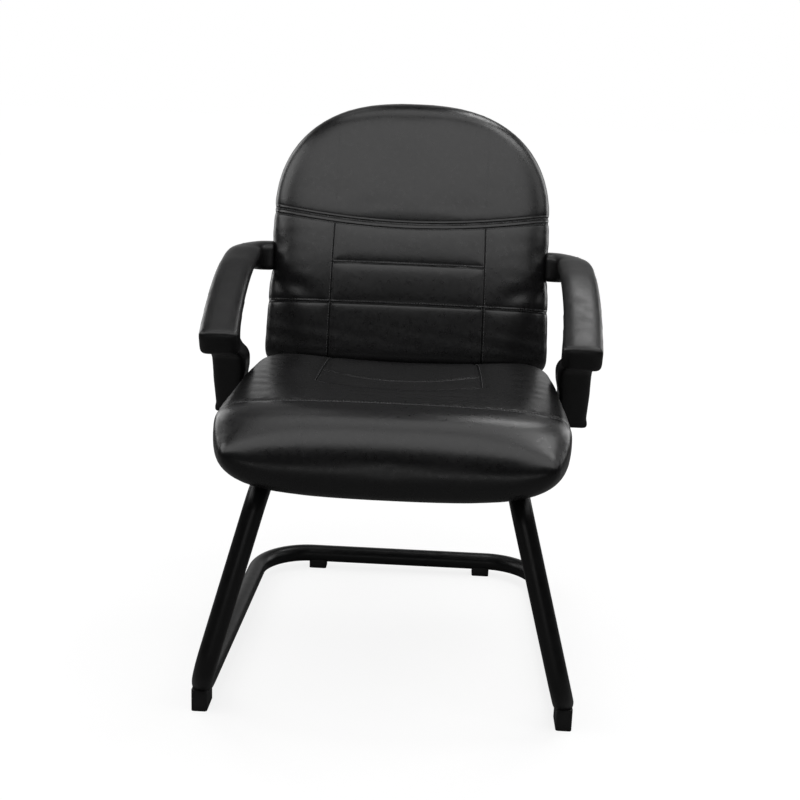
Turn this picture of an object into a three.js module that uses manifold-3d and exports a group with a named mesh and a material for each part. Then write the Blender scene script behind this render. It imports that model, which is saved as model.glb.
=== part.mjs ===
// A visitor chair on a one-piece sled base, in millimetres.
// +X is the viewer's right, the chair faces -Y and +Z is up.
// Depths are measured rearward from the front edge of the front feet, heights from the floor.
import * as THREE from 'three';
import { mergeVertices } from 'three/addons/utils/BufferGeometryUtils.js';
import Module from 'manifold-3d';

const wasm = await Module();
wasm.setup();

// Shared fits
const seatGap = 0.3;
const foamGap = 1.2;
const cutOverrun = 5;
const weldDistance = 0.001;

// Sled base: one bent round tube
const tubeDiameter = 32;
const tubeWall = 2;
const footHalfSpan = 276;
const footCornerDepth = -24;
const rearHalfSpan = 266;
const crossbarDepth = 595;
const railHalfSpan = 184;
const railHeight = 368;
const railFrontDepth = 36;
const railRearSetback = 6;
const footBendRadius = 70;
const rearBendRadius = 98;
const railBendRadius = 70;
const tubeSides = 18;
const boreSides = 12;
const bendSteps = 6;

// Glides under the base
const glideLift = 10;
const frontGlideWidth = 24;
const frontGlideLength = 46;
const frontGlideHeight = 34;
const frontGlideHalfSpan = 274;
const rearGlideWidth = 33;
const rearGlideLength = 28;
const rearGlideHeight = 17;
const rearGlideHalfSpan = 160;
const glideCorner = 4;
const glideScrewShankRadius = 2;
const glideScrewHeadRadius = 4;
const glideScrewHeadHeight = 2.5;
const glideScrewLength = 22;
const glideScrewRecess = 1.5;
const glideScrewSetback = 30;

// Plugs in the open rail ends
const plugStemLength = 22;
const plugCapThickness = 4;
const plugCapCrown = 2;

// Cross plates welded on the rails
const plateThickness = 6;
const plateRise = 3;
const plateWidth = 40;
const plateOverhang = 14;
const plateCorner = 6;
const frontPlateDepth = 130;
const rearPlateSetback = 46;
const plateBoltInset = 46;

// Seat board, dust cloth and cushion
const clothThickness = 1;
const boardThickness = 12;
const seatBoardFrontDepth = 26;
const seatBoardRearMargin = 27;
const seatBoardFrontMargin = 23;
const seatBoardSideMargin = 14;
const boardCorner = 40;
const coverWrapMargin = 22;
const coverWrapThickness = 1.4;
const coverThickness = 6.5;
const seatHalfWidth = 263;
const seatWaistHalfWidth = 260;
const seatRearHalfWidth = 252;
const seatFrontDepth = -36;
const seatRearDepth = 451;
const seatTailSpan = 34;
const seatFrontCornerReach = 250;
const seatRearCornerSpan = 68;
const seatRearCornerReach = 136;
const seatTopHeight = 474;
const seatDip = 12;
const seatCrown = 5;
const seatDish = 12;
const seatRollBottom = 350;
const seatRollMiddle = 412;
const seatRollSpan = 60;
const seatSeamDepth = 78;
const seatPanelHalfWidth = 133;
const seatFirstLineDepth = 188;
const seatSecondLineDepth = 268;
const seatLineSweep = 46;
const seamWidth = 9;
const seamGrooveDepth = 4;

// Back: built upright in its own frame, then leaned
const backRecline = THREE.MathUtils.degToRad(14);
const backFootOverlap = 11;
const backFootHeight = 432;
const backHeight = 488;
const backLowerHalfWidth = 254;
const backUpperHalfWidth = 247;
const backShoulderHeight = 276;
const backThickness = 84;
const backCrown = 16;
const backTopCrown = 8;
const backBottomRound = 34;
const backEdgeMiddleShare = 0.56;
const backCorner = 34;
const backTopRound = 46;
const backRearRound = 12;
const backSeamHeight = 299;
const backSeamSag = 26;
const backBandHeight = 11;
const backPanelHalfWidth = 132;
const backMiddleLineHeight = 193;
const backLowerLineHeight = 118;
const backBoardThickness = 11;
const backBoardInset = 26;
const backPanelInset = 9;
const backPanelEdge = 7;
const backPanelCrown = 6;
const backPanelCrownReach = 123;

// Arms: a moulded pad, post and foot, one piece a side
const armPadWidth = 60;
const armCorner = 9;
const armNoseDepth = 226;
const armNoseHeight = 531.5;
const armNoseThickness = 42;
const armPadThickness = 28;
const armLinkHeight = 46;
const armLinkDepth = 44;
const armLinkEntry = 5;
const armPadOffset = 3;
const armPadSplay = 3;
const armShoulderDrop = 2;
const armLinkSetback = 40;
const armLinkCentreHeight = 624;
const armTurnRadius = 42;
const armCrown = 2;
const postWidth = 50;
const postSeatGap = 4;
const postTopDepth = 60;
const postFootDepth = 62;
const postFrontTopDepth = 266;
const footSetback = 17;
const postFrontTopHeight = 540;
const postRearTopHeight = 578;
const postFilletReach = 36;
const postFilletHeight = 60;
const postFilletLean = 4;
const postFilletTurn = 20;
const postCurveSteps = 5;
const footThickness = 12;
const footReach = 29;

// Bolts, nuts and brackets
const boltShankRadius = 3;
const boltHeadRadius = 6;
const boltHeadHeight = 3.6;
const boltSocketRadius = 2.3;
const boltSocketSides = 6;
const boltSocketDepth = 2;
const boltClearance = 0.4;
const nutFlangeRadius = 10;
const nutFlangeThickness = 1.4;
const nutBarrelRadius = 4.6;
const nutBarrelLength = 9;
const fastenerSides = 10;
const armSeatBoltHalfPitch = 19;
const armSeatBoltInset = 14;
const armBackBoltHalfPitch = 12;
const armBackBoltRadius = 4;
const armBackHeadRadius = 6.5;
const armBackHeadHeight = 5;
const armLinkWall = 25;
const bracketThickness = 4;
const bracketLength = 60;
const bracketFlange = 40;
const bracketEdge = 15;
const bracketScrewHalfPitch = 19;
const bracketScrewRadius = 2;
const bracketScrewHeadRadius = 4;
const bracketScrewHeadHeight = 2;
const bracketScrewLength = 13;

// Sizes worked out from the ones above
const tubeRadius = tubeDiameter / 2;
const runnerHeight = glideLift + tubeRadius;
const plateTop = railHeight + tubeRadius + plateRise;
const clothBottom = plateTop + seatGap;
const boardBottom = clothBottom + clothThickness + seatGap;
const boardTop = boardBottom + boardThickness;
const coverBottom = boardBottom - seatGap - coverWrapThickness;
const footTop = Math.min(coverBottom, clothBottom) - seatGap;
const footBottom = footTop - footThickness;
const nutTop = boardTop + seatGap + nutFlangeThickness;
const backBoardFront = backThickness - backBoardThickness;
const seatBoardRearDepth = seatRearDepth - seatBoardRearMargin;
const seatBoardFrontHalfWidth = seatHalfWidth - seatBoardFrontMargin;
const seatBoardRearHalfWidth = seatRearHalfWidth - seatBoardSideMargin;
const railRearDepth = seatBoardRearDepth - railRearSetback;
const rearPlateDepth = seatBoardRearDepth - rearPlateSetback;
const backFootDepth = seatRearDepth - backFootOverlap;
const postHalfSpan = seatHalfWidth + postSeatGap + postWidth / 2;
const armHalfSpan = postHalfSpan - armPadOffset;
const armRearHalfSpan = armHalfSpan + armPadSplay;
const armShoulderHeight = armLinkCentreHeight - armShoulderDrop;
const armLinkLean = (armLinkCentreHeight - backFootHeight) * Math.tan(backRecline);
const armLinkCentreDepth = backFootDepth + armLinkLean + armLinkSetback;
const postFrontFootDepth = seatBoardRearDepth - footSetback - postFootDepth;
const footInnerHalfSpan = seatBoardRearHalfWidth - footReach;

const black = (roughness, shade) =>
  new THREE.MeshStandardMaterial({ color: shade, roughness, metalness: 0 });
const materials = {
  paint: new THREE.MeshStandardMaterial({ color: 0x0d0d0e, roughness: 0.35, metalness: 0.3 }),
  zinc: new THREE.MeshStandardMaterial({ color: 0x9a9a98, roughness: 0.35, metalness: 1 }),
  leather: black(0.45, 0x18181a),
  armPlastic: black(0.5, 0x1f1f20),
  glidePlastic: black(0.6, 0x101011),
  plywood: new THREE.MeshStandardMaterial({ color: 0xb98f5e, roughness: 0.8, metalness: 0 }),
  foam: new THREE.MeshStandardMaterial({ color: 0xd8cfb0, roughness: 0.95, metalness: 0 }),
  cloth: black(0.95, 0x0c0c0c),
};

const sides = [
  { name: 'left', sign: -1 },
  { name: 'right', sign: 1 },
];

// Solids and meshes

function signedVolume(geometry) {
  const index = geometry.index;
  const position = geometry.attributes.position;
  const a = new THREE.Vector3();
  const b = new THREE.Vector3();
  const c = new THREE.Vector3();
  let volume = 0;
  for (let i = 0; i < index.count; i += 3) {
    a.fromBufferAttribute(position, index.getX(i));
    b.fromBufferAttribute(position, index.getX(i + 1));
    c.fromBufferAttribute(position, index.getX(i + 2));
    volume += a.dot(b.cross(c));
  }
  return volume;
}

// Gives a geometry one shared vertex per corner, without slivers, and turns its faces outward.
function closed(geometry) {
  const bare = geometry.clone();
  bare.deleteAttribute('normal');
  bare.deleteAttribute('uv');
  const merged = mergeVertices(bare, weldDistance);
  const corners = merged.index.array;
  const faces = [];
  for (let i = 0; i < corners.length; i += 3) {
    const [a, b, c] = corners.slice(i, i + 3);
    if (a !== b && b !== c && c !== a) faces.push(a, b, c);
  }
  merged.setIndex(faces);
  if (signedVolume(merged) < 0) merged.setIndex(faces.reverse());
  return merged;
}

function solid(geometry) {
  const merged = closed(geometry);
  return new wasm.Manifold(new wasm.Mesh({
    numProp: 3,
    vertProperties: new Float32Array(merged.attributes.position.array),
    triVerts: new Uint32Array(merged.index.array),
  }));
}

function geometryOf(body) {
  const mesh = body.getMesh();
  const geometry = new THREE.BufferGeometry();
  geometry.setAttribute('position', new THREE.BufferAttribute(mesh.vertProperties, 3));
  geometry.setIndex(new THREE.BufferAttribute(mesh.triVerts, 1));
  geometry.computeVertexNormals();
  return geometry;
}

const cut = (body, tools) => tools.reduce((rest, tool) => rest.subtract(tool), body);

function piece(name, body, material) {
  const geometry = body instanceof THREE.BufferGeometry ? body : geometryOf(body);
  const mesh = new THREE.Mesh(geometry, material);
  mesh.name = name;
  return mesh;
}

// A closed skin through rings of points. Each end is a fan, or the given faces of a ring.
function loft(rings, endFaces = null) {
  const count = rings[0].length;
  const points = rings.flat();
  const faces = [];
  for (let r = 0; r + 1 < rings.length; r++) {
    for (let i = 0; i < count; i++) {
      const here = r * count + i;
      const next = r * count + (i + 1) % count;
      faces.push(here, next, here + count);
      faces.push(next, next + count, here + count);
    }
  }
  [0, rings.length - 1].forEach((r, end) => {
    const start = r * count;
    if (endFaces) {
      endFaces.forEach(([a, b, c]) => faces.push(start + a, start + (end ? b : c), start + (end ? c : b)));
      return;
    }
    const middle = new THREE.Vector3();
    rings[r].forEach((point) => middle.addScaledVector(point, 1 / count));
    const centre = points.push(middle) - 1;
    for (let i = 0; i < count; i++) {
      const here = start + i;
      const next = start + (i + 1) % count;
      faces.push(centre, end ? here : next, end ? next : here);
    }
  });
  const geometry = new THREE.BufferGeometry().setFromPoints(points);
  geometry.setIndex(faces);
  return geometry;
}

// A flat outline with every edge drawn in by a distance; the outline runs anticlockwise.
function drawnIn(outline, distance) {
  return outline.map((point, i) => {
    const before = outline.at(i - 1);
    const after = outline[(i + 1) % outline.length];
    const entry = point.clone().sub(before).normalize();
    const exit = after.clone().sub(point).normalize();
    const inward = new THREE.Vector2(-entry.y - exit.y, entry.x + exit.x);
    return point.clone().addScaledVector(inward, distance / (1 + entry.dot(exit)));
  });
}

// A round bar along Z between two heights, with a given number of sides.
function bar(radius, bottom, top, sideCount = fastenerSides) {
  const geometry = new THREE.CylinderGeometry(radius, radius, top - bottom, sideCount);
  geometry.rotateX(Math.PI / 2);
  geometry.translate(0, 0, (bottom + top) / 2);
  return geometry;
}

function roundedRectangle(halfX, halfY, radius) {
  const shape = new THREE.Shape();
  shape.moveTo(-halfX + radius, -halfY);
  shape.lineTo(halfX - radius, -halfY);
  shape.absarc(halfX - radius, -halfY + radius, radius, -Math.PI / 2, 0);
  shape.lineTo(halfX, halfY - radius);
  shape.absarc(halfX - radius, halfY - radius, radius, 0, Math.PI / 2);
  shape.lineTo(-halfX + radius, halfY);
  shape.absarc(-halfX + radius, halfY - radius, radius, Math.PI / 2, Math.PI);
  shape.lineTo(-halfX, -halfY + radius);
  shape.absarc(-halfX + radius, -halfY + radius, radius, Math.PI, Math.PI * 1.5);
  return shape;
}

// A flat plate of a given outline between two heights.
function slab(shape, bottom, top, curveSegments = 4) {
  const geometry = new THREE.ExtrudeGeometry(shape, {
    depth: top - bottom,
    bevelEnabled: false,
    curveSegments,
  });
  geometry.translate(0, 0, bottom);
  return geometry;
}

// Bent tube

// Stations along a run of corners, with each inner corner rounded by its own bend radius.
function bentPath(corners, radii) {
  const stations = [];
  const last = corners.length - 1;
  corners.forEach((corner, i) => {
    if (i === 0 || i === last) {
      const inner = corners[i === 0 ? 1 : last - 1];
      const along = corner.clone().sub(inner).normalize();
      const tangent = i === 0 ? along.clone().negate() : along;
      stations.push({ centre: corner.clone(), tangent });
      return;
    }
    const before = corner.clone().sub(corners[i - 1]).normalize();
    const after = corners[i + 1].clone().sub(corner).normalize();
    const turn = before.angleTo(after);
    const axis = before.clone().cross(after).normalize();
    const setback = radii[i] * Math.tan(turn / 2);
    const inward = axis.clone().cross(before);
    const hub = corner.clone().addScaledVector(before, -setback).addScaledVector(inward, radii[i]);
    for (let step = 0; step <= bendSteps; step++) {
      const angle = turn * step / bendSteps;
      const arm = inward.clone().multiplyScalar(-radii[i]).applyAxisAngle(axis, angle);
      stations.push({
        centre: hub.clone().add(arm),
        tangent: before.clone().applyAxisAngle(axis, angle),
      });
    }
  });
  return stations;
}

// Round rings carried along the stations without twisting.
function roundSweep(stations, radius, sideCount) {
  const across = new THREE.Vector3(0, 0, 1);
  across.cross(stations[0].tangent).normalize();
  const turn = new THREE.Quaternion();
  return loft(stations.map(({ centre, tangent }, s) => {
    if (s > 0) across.applyQuaternion(turn.setFromUnitVectors(stations[s - 1].tangent, tangent));
    const up = tangent.clone().cross(across);
    return Array.from({ length: sideCount }, (_, i) => {
      const angle = 2 * Math.PI * i / sideCount;
      return centre.clone()
        .addScaledVector(across, radius * Math.cos(angle))
        .addScaledVector(up, radius * Math.sin(angle));
    });
  }));
}

function sledCorners(endOverrun) {
  const half = [
    [railHalfSpan, railRearDepth + endOverrun, railHeight],
    [railHalfSpan, railFrontDepth, railHeight],
    [footHalfSpan, footCornerDepth, runnerHeight],
    [rearHalfSpan, crossbarDepth, runnerHeight],
  ];
  const left = half.map(([x, y, z]) => new THREE.Vector3(-x, y, z));
  const right = half.map(([x, y, z]) => new THREE.Vector3(x, y, z)).reverse();
  return [...left, ...right];
}

const sledRadii = [0, railBendRadius, footBendRadius, rearBendRadius,
  rearBendRadius, footBendRadius, railBendRadius, 0];

const sledBody = (radius, sideCount, endOverrun = 0) =>
  solid(roundSweep(bentPath(sledCorners(endOverrun), sledRadii), radius, sideCount));

const sledClearance = sledBody(tubeRadius + seatGap, tubeSides);

// Where each glide stands, and where its screw enters the tube.
const glides = sides.flatMap(({ name, sign }) => [
  {
    name: `front_glide_${name}`,
    x: sign * frontGlideHalfSpan,
    y: frontGlideLength / 2,
    screwY: glideScrewSetback,
    halfWidth: frontGlideWidth / 2,
    halfLength: frontGlideLength / 2,
    height: frontGlideHeight,
  },
  {
    name: `rear_glide_${name}`,
    x: sign * rearGlideHalfSpan,
    y: crossbarDepth,
    screwY: crossbarDepth,
    halfWidth: rearGlideWidth / 2,
    halfLength: rearGlideLength / 2,
    height: rearGlideHeight,
  },
]);

function sledTube() {
  const bore = sledBody(tubeRadius - tubeWall, boreSides, cutOverrun);
  const screwHoles = glides.map(({ x, screwY }) => {
    const hole = bar(glideScrewShankRadius + seatGap, 0, runnerHeight);
    return solid(hole.translate(x, screwY, 0));
  });
  const tube = cut(sledBody(tubeRadius, tubeSides), [bore, ...screwHoles]);
  return piece('sled_tube', tube, materials.paint);
}

function glideParts({ name, x, y, screwY, halfWidth, halfLength, height }) {
  const block = slab(roundedRectangle(halfWidth, halfLength, glideCorner), 0, height);
  const shaft = bar(glideScrewShankRadius + seatGap, -cutOverrun, height + cutOverrun);
  const headTop = glideScrewRecess + glideScrewHeadHeight + seatGap;
  const sink = bar(glideScrewHeadRadius + seatGap, -cutOverrun, headTop);
  const glide = cut(solid(block.translate(x, y, 0)), [
    sledClearance,
    solid(shaft.translate(x, screwY, 0)),
    solid(sink.translate(x, screwY, 0)),
  ]);
  const head = bar(glideScrewHeadRadius, glideScrewRecess, glideScrewRecess + glideScrewHeadHeight);
  const shank = bar(glideScrewShankRadius, glideScrewRecess, glideScrewRecess + glideScrewLength);
  const screw = solid(head).add(solid(shank)).translate([x, screwY, 0]);
  return [
    piece(name, glide, materials.glidePlastic),
    piece(name.replace('glide', 'glide_screw'), screw, materials.zinc),
  ];
}

// A ribbed plug that closes one rail end: stem, lip and slightly domed cap.
function railPlug({ name, sign }) {
  const stemRadius = tubeRadius - tubeWall - 2 * seatGap;
  const profile = [
    [0, -plugStemLength],
    [stemRadius - plugCapCrown / 2, -plugStemLength],
    [stemRadius, -plugStemLength + plugCapCrown],
    [stemRadius, seatGap],
    [tubeRadius, seatGap],
    [tubeRadius, plugCapThickness],
    [tubeRadius - plugCapCrown, plugCapThickness + plugCapCrown / 2],
    [0, plugCapThickness + plugCapCrown],
  ];
  const turned = new THREE.LatheGeometry(profile.map(([r, z]) => new THREE.Vector2(r, z)), tubeSides);
  const plug = piece(`rail_plug_${name}`, closed(turned), materials.glidePlastic);
  plug.position.set(sign * railHalfSpan, railRearDepth, railHeight);
  return plug;
}

// Seat support

const plateBolts = [frontPlateDepth, rearPlateDepth].flatMap((y) =>
  sides.map(({ name, sign }) => ({
    name: `seat_bolt_${y === frontPlateDepth ? 'front' : 'rear'}_${name}`,
    x: sign * (railHalfSpan - plateBoltInset),
    y,
    under: plateTop - plateThickness,
  })));

const postFootMiddle = postFrontFootDepth + postFootDepth / 2;
const armSeatBolts = sides.flatMap(({ name, sign }) =>
  [-1, 1].map((row) => ({
    name: `arm_seat_bolt_${row < 0 ? 'front' : 'rear'}_${name}`,
    x: sign * (footInnerHalfSpan + armSeatBoltInset),
    y: postFootMiddle + row * armSeatBoltHalfPitch,
    under: footBottom,
  })));

const seatBolts = [...plateBolts, ...armSeatBolts];

const holeAt = ({ x, y }, radius, bottom, top) => solid(bar(radius, bottom, top).translate(x, y, 0));

const boltHoles = (radius, bottom, top) =>
  seatBolts.map((bolt) => holeAt(bolt, radius, bottom - cutOverrun, top + cutOverrun));

function crossPlate(name, y) {
  const outline = roundedRectangle(railHalfSpan + plateOverhang, plateWidth / 2, plateCorner);
  const plate = solid(slab(outline, plateTop - plateThickness, plateTop).translate(0, y, 0));
  const holes = boltHoles(boltShankRadius + boltClearance, plateTop - plateThickness, plateTop);
  return piece(name, cut(plate, [sledClearance, ...holes]), materials.paint);
}

// A button-head bolt with a hexagon socket, its head under the given face.
function seatBolt({ name, x, y, under }) {
  const head = bar(boltHeadRadius, -boltHeadHeight, 0);
  const shank = bar(boltShankRadius, -boltHeadHeight / 2, nutTop - under);
  const socketTop = boltSocketDepth - boltHeadHeight;
  const socket = bar(boltSocketRadius, -boltHeadHeight - cutOverrun, socketTop, boltSocketSides);
  const body = solid(head).add(solid(shank)).subtract(solid(socket));
  const bolt = piece(name, body, materials.zinc);
  bolt.position.set(x, y, under - seatGap);
  return bolt;
}

// A nut pressed into the board from above: a flange and a barrel round the thread.
function boardNut({ name, x, y }) {
  const threadRadius = boltShankRadius + boltClearance;
  const flange = solid(bar(nutFlangeRadius, 0, nutFlangeThickness));
  const barrel = solid(bar(nutBarrelRadius, -nutBarrelLength, nutFlangeThickness));
  const thread = solid(bar(threadRadius, -nutBarrelLength - cutOverrun, nutFlangeThickness + cutOverrun));
  const nut = piece(name.replace('bolt', 'nut'), flange.add(barrel).subtract(thread), materials.zinc);
  nut.position.set(x, y, boardTop + seatGap);
  return nut;
}

// The board's outline, drawn in by an inset, tapering toward the rear.
function seatBoardShape(inset) {
  const front = seatBoardFrontDepth + inset;
  const rear = seatBoardRearDepth - inset;
  const frontHalf = seatBoardFrontHalfWidth - inset;
  const rearHalf = seatBoardRearHalfWidth - inset;
  const corner = boardCorner - inset;
  const shape = new THREE.Shape();
  shape.moveTo(-frontHalf + corner, front);
  shape.lineTo(frontHalf - corner, front);
  shape.quadraticCurveTo(frontHalf, front, frontHalf, front + corner);
  shape.lineTo(rearHalf, rear - corner);
  shape.quadraticCurveTo(rearHalf, rear, rearHalf - corner, rear);
  shape.lineTo(-rearHalf + corner, rear);
  shape.quadraticCurveTo(-rearHalf, rear, -rearHalf, rear - corner);
  shape.lineTo(-frontHalf, front + corner);
  shape.quadraticCurveTo(-frontHalf, front, -frontHalf + corner, front);
  return shape;
}

function seatBoard() {
  const board = solid(slab(seatBoardShape(0), boardBottom, boardTop));
  const holes = boltHoles(nutBarrelRadius + seatGap, boardBottom, boardTop);
  return piece('seat_board', cut(board, holes), materials.plywood);
}

function dustCloth() {
  const shape = seatBoardShape(coverWrapMargin + seatGap);
  const cloth = solid(slab(shape, clothBottom, clothBottom + clothThickness));
  const holes = boltHoles(boltShankRadius + boltClearance, clothBottom, clothBottom);
  return piece('dust_cloth', cut(cloth, holes), materials.cloth);
}

// Stuffed forms

// How square a rounded end is: round as a circle, soft as a stuffed edge, or pulled tight.
const roundPower = 2;
const softPower = 2.3;
const tightPower = 3.4;
const squarePower = 5;

// How full a rounded end is at a distance from the start of its curve: 1 to 0.
const fullness = (distance, reach, power) =>
  distance <= 0 ? 1 : Math.max(0, 1 - (distance / reach) ** power) ** (1 / power);

// How full the side held flat by a board is across its width: full over the board, then rounded.
const boardedFullness = (share, boardShare) =>
  fullness(Math.abs(share) - boardShare, 1 - boardShare, softPower);

const smooth = (low, high, value) => THREE.MathUtils.smoothstep(value, low, high);

// How far a sewn line pulls the surface in at a distance from it.
const groove = (distance) =>
  seamGrooveDepth * Math.max(0, 1 - Math.abs(distance) / seamWidth);

// Shares of the half width at which a stuffed ring has its points, denser at the rounded sides.
const sideShares = [0.83, 0.93, 0.985, 1];
const plainShares = [0.35, 0.6, 0.8, 0.91, 0.975, 1];

// Shares across a ring from left to right: the middle, any sewn lines and the rounded sides.
function acrossShares(lineHalfWidth, fullHalfWidth, sewn) {
  const places = [lineHalfWidth / 2, lineHalfWidth - seamWidth, lineHalfWidth, lineHalfWidth + seamWidth];
  const right = sewn ? [...places.map((x) => x / fullHalfWidth), ...sideShares] : plainShares;
  return [...right.map((share) => -share).reverse(), 0, ...right];
}

// Depth stations with each end's rounding resolved, and the sewn lines hit exactly.
function seatStations(front, rear, lines) {
  const noseShares = [0.02, 0.1, 0.24, 0.45, 0.7];
  const tailShares = [0.3, 0.7, 0.92, 1];
  const nose = noseShares.map((share) => front + share * seatRollSpan);
  const tail = tailShares.map((share) => rear - (1 - share) * seatTailSpan);
  return [...nose, ...lines, ...tail].sort((a, b) => a - b);
}

const sewnDepths = [seatSeamDepth, seatFirstLineDepth, seatSecondLineDepth]
  .flatMap((y) => [y - seamWidth, y, y + seamWidth]);

function seatHalfWidthAt(y) {
  const toWaist = smooth(seatSeamDepth, seatSecondLineDepth, y);
  const toRear = smooth(seatSecondLineDepth, seatRearDepth, y);
  const straight = seatHalfWidth
    + (seatWaistHalfWidth - seatHalfWidth) * toWaist
    + (seatRearHalfWidth - seatWaistHalfWidth) * toRear;
  const frontCorner = fullness(seatSeamDepth - y, seatFrontCornerReach, roundPower);
  const rearCorner = fullness(y - seatRearDepth + seatRearCornerSpan, seatRearCornerReach, roundPower);
  return straight * frontCorner * rearCorner;
}

// The seat cushion's skin, drawn in by an inset; sewn lines are pulled in where asked.
function seatForm({ inset, floor, sewn }) {
  const plainDepths = [seatSeamDepth, seatFirstLineDepth, seatSecondLineDepth, frontPlateDepth];
  const lines = sewn ? sewnDepths : plainDepths;
  const front = seatFrontDepth + inset;
  const rear = seatRearDepth - inset;
  const rings = seatStations(front, rear - seatGap, lines).map((y) => {
    const nose = fullness(front + seatRollSpan - y, seatRollSpan, softPower);
    const tail = fullness(y - rear + seatTailSpan, seatTailSpan, softPower);
    const half = seatHalfWidthAt(y) - inset;
    const rollShare = 1 - smooth(seatFrontDepth + seatRollSpan / 2, seatSeamDepth - seamWidth, y);
    const middle = THREE.MathUtils.lerp((floor + seatTopHeight) / 2, seatRollMiddle, rollShare);
    const bottom = THREE.MathUtils.lerp(floor, seatRollBottom + inset, rollShare);
    const rearward = smooth(seatSeamDepth, seatSecondLineDepth, y);
    const dip = seatDip * rearward;
    const upper = (seatTopHeight - dip - inset - middle) * nose * tail;
    const lower = (middle - bottom) * fullness(front + seatRollSpan / 2 - y, seatRollSpan / 2, roundPower);
    const shares = acrossShares(seatPanelHalfWidth, seatHalfWidth, sewn);
    const lineHalf = half * seatPanelHalfWidth / seatHalfWidth;
    const sweepHere = seatLineSweep * smooth(seatSeamDepth, seatFirstLineDepth, y)
      * (1 - smooth(seatSecondLineDepth, rear - seatTailSpan, y));
    const crown = THREE.MathUtils.lerp(seatCrown, -seatDish, rearward) * nose * tail;
    const upperPower = THREE.MathUtils.lerp(squarePower, tightPower, rollShare);
    const tuck = backCrown * smooth(seatSecondLineDepth, seatRearDepth, y);
    const top = shares.map((share) => {
      const x = share * half;
      const reach = Math.min(1, Math.abs(x) / lineHalf);
      let pull = 0;
      if (sewn) {
        pull = groove(y - seatSeamDepth);
        if (reach < 1) {
          pull = Math.max(pull, groove(y - seatFirstLineDepth), groove(y - seatSecondLineDepth));
        }
        if (y > seatFirstLineDepth) pull = Math.max(pull, groove(Math.abs(x) - lineHalf));
      }
      const height = middle + (upper - crown * share * share) * fullness(Math.abs(share), 1, upperPower);
      const depth = y + sweepHere * reach * reach - tuck * (1 - share * share);
      return new THREE.Vector3(x, depth, Math.max(middle, height - pull));
    });
    const under = shares.slice(1, -1).reverse().map((share) => {
      const flat = boardedFullness(share, seatBoardFrontHalfWidth / seatHalfWidth);
      const full = THREE.MathUtils.lerp(flat, fullness(Math.abs(share), 1, softPower), rollShare);
      return new THREE.Vector3(share * half, y - tuck * (1 - share * share), middle - lower * full);
    });
    return [...top, ...under];
  });
  return solid(loft(rings));
}

const seatCavity = () => seatForm({ inset: coverThickness, floor: boardBottom - seatGap, sewn: false });

function seatCover() {
  const opening = slab(seatBoardShape(coverWrapMargin), coverBottom - cutOverrun, boardBottom);
  const holes = armSeatBolts.map((bolt) =>
    holeAt(bolt, nutBarrelRadius, coverBottom - cutOverrun, boardBottom + cutOverrun));
  const roomForBoard = slab(seatBoardShape(-seatGap), boardBottom - seatGap, boardTop + seatGap);
  const skin = seatForm({ inset: 0, floor: coverBottom, sewn: true });
  const rooms = [seatCavity(), solid(opening), solid(roomForBoard), ...holes];
  return piece('seat_cover', cut(skin, rooms), materials.leather);
}

function seatFoam() {
  const foam = seatForm({ inset: coverThickness + foamGap, floor: boardBottom, sewn: false });
  const boardRoom = slab(seatBoardShape(-seatGap), boardBottom - cutOverrun, boardTop + seatGap);
  const nutRoom = seatBolts.map((bolt) =>
    holeAt(bolt, nutFlangeRadius + seatGap, boardTop, nutTop + 2 * seatGap));
  return piece('seat_foam', cut(foam, [solid(boardRoom), ...nutRoom]), materials.foam);
}

// Back, in its own upright frame: x across, y into the back, z up along it

const backFrame = new THREE.Matrix4()
  .makeRotationX(-backRecline)
  .setPosition(0, backFootDepth, backFootHeight);
const intoBack = backFrame.clone().invert();

// Half the width of the back's outline at a height, drawn in by an inset.
function backHalfAt(z, inset) {
  const upShare = Math.min(1, z / backShoulderHeight);
  const straight = THREE.MathUtils.lerp(backLowerHalfWidth, backUpperHalfWidth, upShare);
  const dome = fullness(z - backShoulderHeight, backHeight - inset - backShoulderHeight, softPower);
  const corner = backCorner * (1 - fullness(backCorner - (z - inset), backCorner, roundPower));
  return (straight - inset) * dome - corner;
}

// Heights from the outline's foot to its crown, denser where it curves.
function backHeights(inset, lines) {
  const footShares = [0, 0.12, 0.4, 1];
  const domeShares = [0.4, 0.68, 0.86, 0.955, 0.99];
  const foot = footShares.map((share) => inset + share * backCorner);
  const top = backHeight - inset;
  const dome = domeShares.map((share) => THREE.MathUtils.lerp(backShoulderHeight, top, share));
  return [...foot, ...lines, ...dome];
}

const backSewnHeights = [backLowerLineHeight, backMiddleLineHeight]
  .flatMap((z) => [z - seamWidth, z, z + seamWidth]);
const backBandHeights = [-backBandHeight - seamWidth, -backBandHeight, 0, seamWidth]
  .map((offset) => backSeamHeight - backSeamSag + offset);

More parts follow.
